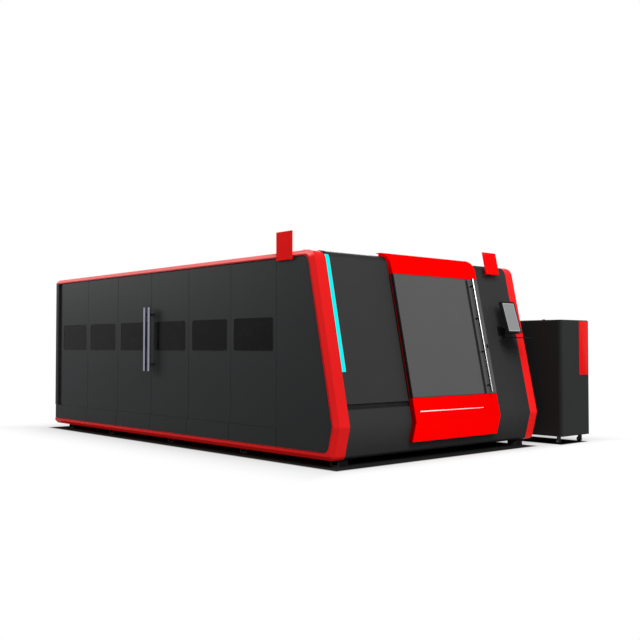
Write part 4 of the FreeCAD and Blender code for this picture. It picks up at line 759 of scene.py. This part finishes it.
def trimPath():
    # the trim's inner outline from the rear along the top, down the slope and back along the foot, as (y, z)
    inset, radius = trim["inset"], trim["radius"]
    slopeIn, toeIn = Vector((cos(lean), -sin(lean))), Vector((cos(toeLean), sin(toeLean)))
    crease = (Vector((-body["halfLength"], front["creaseLevel"]))
              + (slopeIn + toeIn) * inset / (1 + slopeIn.dot(toeIn)))
    top = Vector((crease.x + (trim["head"] - crease.y) * tan(lean), trim["head"]))
    toe = Vector((crease.x + (crease.y - trim["foot"]) * tan(toeLean), trim["foot"]))
    corners = [Vector((trim["rear"], top.y)), top, crease, toe, Vector((trim["rear"], toe.y))]
    path = [corners[0]]
    for before, spot, after in zip(corners, corners[1:], corners[2:]):
        if spot is crease:
            path.append(spot)
            continue
        come, leave = (before - spot).normalized(), (after - spot).normalized()
        half = come.angle(leave) / 2
        middle = spot + (come + leave).normalized() * (radius / sin(half))
        start, end = (spot + way * (radius / tan(half)) - middle for way in (come, leave))
        path += [middle + start.lerp(end, step / trim["steps"]).normalized() * radius
                 for step in range(trim["steps"] + 1)]
    return path + [corners[-1]]


# painted shadow: a black strip along the trim's inner outline, in the gap between trim and panels
edges = Mould()
path = trimPath()
for side in (-1, 1):
    loops = []
    under, over = side * trim["under"], side * trim["over"]
    for before, spot, after in zip([path[0]] + path, path, path[1:] + [path[-1]]):
        run = (after - before).normalized()
        aside = Vector((run.y, -run.x))
        inner, outer = spot + aside * trim["gap"], spot + aside * (trim["gap"] + trim["width"])
        loops.append([Vector((x, *rim)) for x, rim in ((under, inner), (over, inner), (over, outer),
                                                       (under, outer))])
    edges.loft(loops)
edges.done("trimGapShade", "blackRubber", "machine", "rubber")
print("seals laid")


def screwed(name, heads, form, mould=None):
    # all the button screws of a part; heads pairs each place with the way out of the sheet
    mould = mould or Mould()
    for place, axis in heads:
        mould.button(place, axis, form["radius"], form["height"])
    mould.done(name, "darkScrew", "machine", "steel")


# bare sign plates: a button screw in each corner, and a washer head on each post of the front one
signScrew = {"radius": 0.0065, "height": 0.0035, "inset": 0.022, "footInset": 0.030}
sideSign = {"y": -2.263, "half": 0.125, "foot": 2.083, "head": 2.380, "face": -1.694}
frontSign = {"left": 1.025, "right": 1.275, "foot": 1.680, "head": 1.952, "out": 0.074, "posts": (0.2, 0.8),
             "postUp": 0.012}
inset, footInset = signScrew["inset"], signScrew["footInset"]
reach = sideSign["half"] - inset
screwed("sideSignScrews", [((sideSign["face"], sideSign["y"] + side * reach, level), (-1, 0, 0))
                           for side in (-1, 1)
                           for level in (sideSign["foot"] + footInset, sideSign["head"] - inset)], signScrew)
posts = Mould()
for share in frontSign["posts"]:
    across = frontSign["left"] + (frontSign["right"] - frontSign["left"]) * share
    posts.turned([(0, 0.006), (0.0085, 0.006), (0.0125, 0.005), (0.014, 0.002), (0.014, -0.001)],
                 onSlope(across, frontSign["foot"] + frontSign["postUp"], 0.0), slopeOut)
screwed("frontSignScrews", [(onSlope(across, up, frontSign["out"]), slopeOut)
                            for across in (frontSign["left"] + inset, frontSign["right"] - inset)
                            for up in (frontSign["foot"] + footInset, frontSign["head"] - inset)],
        signScrew, posts)
print("sign screws fitted")

# operator's screen: bezel, power keys, rear vents and the arm's fasteners
screen = {"up": 0.996, "out": 0.098, "lean": 16.5, "left": 1.124, "right": 1.386, "foot": -0.061,
          "head": 0.331, "front": -0.065, "back": -0.027}
screenTurn = Matrix.Rotation(-radians(screen["lean"]), 4, "X")
screenPivot = onSlope(0.0, screen["up"], screen["out"])


def onScreen(across, up, inward=0.0):
    # a point in the leaning frame of the screen, up and inward from its tilt pivot
    return screenPivot + Vector((across, 0, 0)) + screenTurn.to_3x3() @ Vector((0, inward, up))


screenBezel = {"corner": 0.0105, "form": ((0.0135, -0.002), (0.0120, 0.0006), (0.0105, 0.0011), (0.0045, 0.0013),
                                          (0.0022, 0.0009), (0.0010, -0.001))}
bezel = Mould()
bezel.loft(roundedLoops((screen["left"], screen["foot"]), (screen["right"], screen["head"]),
                        screenBezel["corner"], screenBezel["form"],
                        lambda x, up, rise: onScreen(x, up, screen["front"] - rise), 4))
bezel.done("screenBezel", "bezelBlack", "screen", "black_paint")

screenKeys = {"count": 3, "aside": 0.030, "pitch": 0.012, "up": 0.0065, "out": 0.0008}
keys = Mould()
for index in range(screenKeys["count"]):
    keys.turned([(0, 0.0016), (0.0022, 0.0015), (0.0030, 0.0008), (0.0032, -0.0005)],
                onScreen(screen["right"] - screenKeys["aside"] - screenKeys["pitch"] * index,
                         screen["foot"] + screenKeys["up"], screen["front"] - screenKeys["out"]),
                screenTurn.to_3x3() @ Vector((0, -1, 0)), 20)
keys.done("screenKeys", "turnedSteel", "screen", "steel")

screenVents = {"count": 9, "width": 0.150, "thick": 0.0018, "height": 0.0035, "below": 0.060, "pitch": 0.010}
vents = Mould()
for index in range(screenVents["count"]):
    vents.slab((screenVents["width"], screenVents["thick"], screenVents["height"]),
               onScreen((screen["left"] + screen["right"]) / 2,
                        screen["head"] - screenVents["below"] - screenVents["pitch"] * index,
                        screen["back"] + 0.0004), screenTurn, 0.0006, 1)
vents.done("screenVents", "blackRubber", "screen", "black_paint")

arm = {"across": 1.185, "boltAcross": 0.028, "boltUp": 0.043, "boltOut": 0.010, "pinOut": 0.030,
       "pinEnd": 0.0303, "radius": 0.0065, "height": 0.0045}
armNut = [(0.0105, -0.001), (0.0105, 0.003), (0.0098, 0.0038), (0, 0.0038)]
armBolts = Mould()
tiltNuts = Mould()
for side in (-1, 1):
    for end in (-1, 1):
        armBolts.button(onSlope(arm["across"] + side * arm["boltAcross"],
                                screen["up"] + end * arm["boltUp"], arm["boltOut"]),
                        slopeOut, arm["radius"], arm["height"])
    armBolts.turned(armNut, onSlope(arm["across"], screen["up"] + side * arm["pinEnd"],
                                    arm["pinOut"]), slopeUp * side, 6)
    tiltNuts.turned(armNut, onSlope(arm["across"] + side * arm["pinEnd"], screen["up"],
                                    screen["out"]), (side, 0, 0), 6)
armBolts.done("armBolts", "bracketPaint", "machine", "steel")
tiltNuts.done("tiltNuts", "bracketPaint", "screen_arm", "steel")
print("operator's screen dressed")

# cabinet: its stripe has rounded corners and a soft edge
stripeForm = {"corner": 0.014, "soft": 0.0012}
stripeLow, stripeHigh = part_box("cabinet_stripe")
soft, thick = stripeForm["soft"], stripeHigh.y - stripeLow.y
band = Mould()
band.loft(roundedLoops((stripeLow.x, stripeLow.z), (stripeHigh.x, stripeHigh.z), stripeForm["corner"],
                       ((0.0, 0.0), (0.0, thick - soft), (soft * 0.4, thick - soft * 0.3), (soft * 1.3, thick)),
                       lambda x, z, rise: (x, stripeHigh.y - rise, z)), ends=True)
stripePiece = band.done("cabinetStripe", "stripeRed", "machine", "red_paint")
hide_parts("cabinet_stripe")
print("cabinet dressed")

# screws of the panels on the right side, the rear and the roof
screw = {"radius": 0.006, "height": 0.0028, "inset": 0.022, "levels": (0.392, 0.95, 1.5, 2.06),
         "rear": 3.050, "rearLeft": -1.498, "rearPitch": 0.7505, "rearWidth": 0.7445, "right": 1.674,
         "roof": 2.165, "lastSeam": 2.858, "roofStart": -2.373, "roofAcross": (-1.46, -0.5, 0.5, 1.46)}
inset, levels = screw["inset"], screw["levels"]
rearEdges = [screw["rearLeft"] + index * screw["rearPitch"] for index in range(4)]
screwed("rearScrews", [((x, screw["rear"], z), (0, 1, 0)) for edge in rearEdges for z in levels
                       for x in (edge + inset, edge + screw["rearWidth"] - inset)], screw)
lastSeam = screw["lastSeam"]
screwed("rightScrews", [((screw["right"], seam + side, z), (1, 0, 0)) for seam in (*rightSeams, lastSeam)
                        for side in (-inset, inset) if seam + side < lastSeam for z in levels], screw)
start, end = screw["roofStart"], body["halfLength"]
screwed("roofScrews", [((x, seam + side, screw["roof"]), (0, 0, 1)) for seam in (start, *rightSeams[1:], end)
                       for side in (-inset, inset) if start < seam + side < end
                       for x in screw["roofAcross"]], screw)
print("panel screws fitted")

# feet and casters: anchors in the feet, axle bolts on the forks
footing = {"across": 1.46, "rows": (-2.8495, -1.3495, 0.1505, 1.6505, 2.8495), "plate": 0.012, "washer": 0.018,
           "washerTop": 0.003, "nut": 0.013, "nutHeight": 0.010, "stud": 0.006, "studTop": 0.0275}
stud, top = footing["stud"], footing["washerTop"]
anchors = Mould()
for x in (-footing["across"], footing["across"]):
    for y in footing["rows"]:
        spot = (x, y, footing["plate"])
        anchors.turned([(footing["washer"], -0.001), (footing["washer"], 0.002), (footing["washer"] * 0.94, top),
                        (stud, top)], spot)
        anchors.hexBolt((x, y, footing["plate"] + top), (0, 0, 1), footing["nut"], footing["nutHeight"])
        anchors.turned([(stud, 0.012), (stud, 0.026), (stud * 0.8, footing["studTop"]), (0, footing["studTop"])],
                       spot, around=16)
anchors.done("anchorBolts", "zincFork", "machine", "steel")
axle = {"left": 1.915, "right": 2.381, "front": -3.163, "rear": -2.415, "level": 0.032, "cheek": 0.0163,
        "radius": 0.0075, "height": 0.0045}
for name, rider, places, y in (("axleBoltsFrontLeft", "caster_front_left", [axle["left"]], axle["front"]),
                               ("axleBoltsFrontRight", "caster_front_right", [axle["right"]], axle["front"]),
                               ("axleBoltsRear", "machine", [axle["left"], axle["right"]], axle["rear"])):
    bolts = Mould()
    for x in places:
        for side in (-1, 1):
            bolts.hexBolt((x + side * axle["cheek"], y, axle["level"]), (side, 0, 0), axle["radius"],
                          axle["height"])
    bolts.done(name, "turnedSteel", rider, "steel")
print("feet and casters bolted")

# inside: rail wipers and bolts on the trucks, ribs on the lift motor, fittings on the cutting head, rack teeth
truck = {"across": 1.18, "ends": (1.49, 1.91), "railTop": 0.890, "top": 1.050, "bolt": 0.04, "boltEnd": 0.03,
         "radius": 0.011, "height": 0.008}
wiper = {"bridge": (0.060, 0.010, 0.0215), "rise": 0.01425, "leg": (0.009, 0.010, 0.0245), "legAside": 0.0235,
         "legDrop": 0.01075, "out": 0.0051}
wipers = Mould()
bolts = Mould()
for x in (-truck["across"], truck["across"]):
    for end, way in zip(truck["ends"], (-1, 1)):
        y = end + way * wiper["out"]
        wipers.slab(wiper["bridge"], (x, y, truck["railTop"] + wiper["rise"]))
        for side in (-1, 1):
            wipers.slab(wiper["leg"], (x + side * wiper["legAside"], y, truck["railTop"] - wiper["legDrop"]))
            bolts.button((x + side * truck["bolt"], end - way * truck["boltEnd"], truck["top"]), (0, 0, 1),
                         truck["radius"], truck["height"])
wipers.done("railWipers", "blackRubber", "gantry", "rubber")
bolts.done("truckBolts", "darkScrew", "gantry", "steel")

motor = {"rib": (0.1125, 0.1105, 0.005), "y": 1.6255, "foot": 1.338, "pitch": 0.0137, "ribs": 7, "top": 1.467}
ribs = Mould()
for index in range(motor["ribs"]):
    ribs.slab(motor["rib"], (0, motor["y"], motor["foot"] + motor["pitch"] * index), soft=0.0006, steps=1)
ribs.turned([(0.030, -0.001), (0.030, 0.004), (0.027, 0.006), (0.012, 0.006), (0.012, 0.003), (0, 0.003)],
            (0, motor["y"] - 0.0005, motor["top"]))
ribs.done("motorRibs", "framePaint", "carriage", "machine_grey")

head = {"y": 1.504, "radius": 0.040, "levels": (1.136, 1.290, 1.335), "tip": 0.960}
ringForm = ((0.995, -0.007), (1.03, -0.006), (1.03, -0.0015), (1.012, 0.0), (1.03, 0.0015), (1.03, 0.006),
            (0.995, 0.007))
rings = Mould()
for level in head["levels"]:
    rings.turned([(head["radius"] * r, height) for r, height in ringForm], (0, head["y"], level), around=48)
rings.done("headRings", "darkScrew", "lift", "steel")
for name, material, slot, profile in (
        ("nozzleTip", "copper", "steel",
         [(0.0040, -0.0004), (0.0062, -0.0004), (0.0066, 0.0008), (0.0102, 0.0192), (0.0185, 0.0197)]),
        ("nozzleCollar", "ceramic", "bright_tube",
         [(0.0178, 0.0195), (0.0196, 0.0202), (0.0215, 0.0285), (0.0195, 0.0295)])):
    fitting = Mould()
    fitting.turned(profile, (0, head["y"], head["tip"]), around=32)
    fitting.done(name, material, "lift", slot)

rack = {"left": 1.068, "right": 1.090, "top": 0.886, "half": 2.790, "pitch": 0.020,
        "tooth": ((-0.0065, -0.001), (-0.003, 0.005), (0.003, 0.005), (0.0065, -0.001))}
teeth = Mould()
for side in (-1, 1):
    for index in range(int(2 * rack["half"] / rack["pitch"])):
        y = -rack["half"] + rack["pitch"] * (index + 0.5)
        teeth.loft([[Vector((side * x, y + along, rack["top"] + up)) for along, up in rack["tooth"]]
                    for x in (rack["left"], rack["right"])], ends=True)
teeth.done("rackTeeth", "railSteel", "machine", "bright_tube")
print("inner fittings placed")

# floor: white paper that fades into the backdrop, with the machine's cast shadow and a painted soft shadow at its
# feet
# the extent, tone and soft edge of the painted shadow are set here beside the paper's own tone
ground = {"size": 60.0, "tone": 0.64, "bounce": 0.30, "fade": (-0.75, 1.0), "under": (0.045, 0.105),
          "deep": 0.02, "short": 0.22, "cabinet": 0.09, "front": 2.2}
floorMesh = bpy.data.meshes.new("floor")
half = ground["size"]
floorMesh.from_pydata([(-half, -half, 0), (half, -half, 0), (half, half, 0), (-half, half, 0)], [],
                      [(0, 1, 2, 3)])
floor = added("floor", floorMesh)
finish = Finish("studioFloor")


def larger(first, second):
    return finish.maths("MAXIMUM", first, second)


def distance(value):
    return finish.maths("ABSOLUTE", value)


# painted shadow: it follows the machine's footprint, shortened on the right, and the cabinet's, and runs out
# further in front
fromSides = larger(0 - finish.across - body["halfWidth"],
                   finish.across - (body["halfWidth"] - ground["short"]))
fromBody = larger(fromSides, distance(finish.along) - body["halfLength"])
cabinetLow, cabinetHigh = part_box("cabinet_body")
cabinetHalf, cabinetSpot = (cabinetHigh - cabinetLow) / 2, (cabinetHigh + cabinetLow) / 2
fromCabinet = larger(distance(finish.across - cabinetSpot.x) - cabinetHalf.x,
                     distance(finish.along - cabinetSpot.y) - cabinetHalf.y)
nearest = finish.maths("MINIMUM", fromBody, fromCabinet + ground["cabinet"])
fromFront = (0 - finish.along - body["halfLength"]) * ground["front"]
# painted shadow: the paper is darkened under the footprints, and the white glow fades in away from them
outside = finish.ease(nearest, *ground["under"])
away = finish.ease(larger(nearest, fromFront), *ground["fade"]) * outside
watched = finish.watched()
paper = finish.mix(finish.noise(3.0), ground["tone"], ground["tone"] - 0.02)
paper = finish.mix(watched, ground["bounce"], paper)
paper = finish.mix(outside, ground["deep"], paper)
diffuse = finish.node("ShaderNodeBsdfDiffuse", values={"Color": paper})
glowing = finish.node("ShaderNodeEmission", values={"Color": finish.colour, "Strength": 1.0})
both = finish.node("ShaderNodeMixShader", values={0: watched * away, 1: diffuse, 2: glowing})
finish.node("ShaderNodeOutputMaterial", values={"Surface": both})
floorMesh.materials.append(finish.material)

# studio: a white backdrop that lights the machine less than it shows, three wide lamps and the camera
scene = bpy.context.scene
worldLook = {"ambient": 0.3, "shown": 1.0}
scene.world = bpy.data.worlds.new("studio")
sky = Tree(scene.world)
strength = sky.node("ShaderNodeMix", values={"Factor": sky.watched(), "A": worldLook["ambient"],
                                             "B": worldLook["shown"]})
backdrop = sky.node("ShaderNodeBackground", values={"Color": finish.colour, "Strength": strength})
sky.node("ShaderNodeOutputWorld", values={"Surface": backdrop})

lamps = {
    "keyLamp": {"place": (-3.4, -10.5, 8.5), "size": 9.0, "power": 1350.0},
    "sideLamp": {"place": (-6.0, 10.5, 5.5), "size": 4.5, "power": 680.0},
    "backLamp": {"place": (8.0, 8.0, 8.0), "size": 6.0, "power": 600.0},
}
aim = Vector((0.0, 0.0, 0.9))
for name, form in lamps.items():
    light = bpy.data.lights.new(name, "AREA")
    light.shape = "DISK"
    light.size = form["size"]
    light.energy = form["power"]
    holder = added(name, light)
    holder.location = form["place"]
    holder.rotation_euler = (aim - holder.location).to_track_quat("-Z", "Y").to_euler()
    holder.visible_camera = False

cameraView = {"place": (-7.505, -9.317, 1.182), "turn": (91.76, 0.0, -41.83), "lens": 49.78, "sensor": 36.0,
              "reach": 200.0}
camera = added("camera", bpy.data.cameras.new("camera"))
camera.location = cameraView["place"]
camera.rotation_euler = [radians(angle) for angle in cameraView["turn"]]
camera.data.lens = cameraView["lens"]
camera.data.sensor_width = cameraView["sensor"]
camera.data.clip_end = cameraView["reach"]
scene.camera = camera
scene.view_settings.view_transform = "Standard"
print("stage, lamps and camera set")
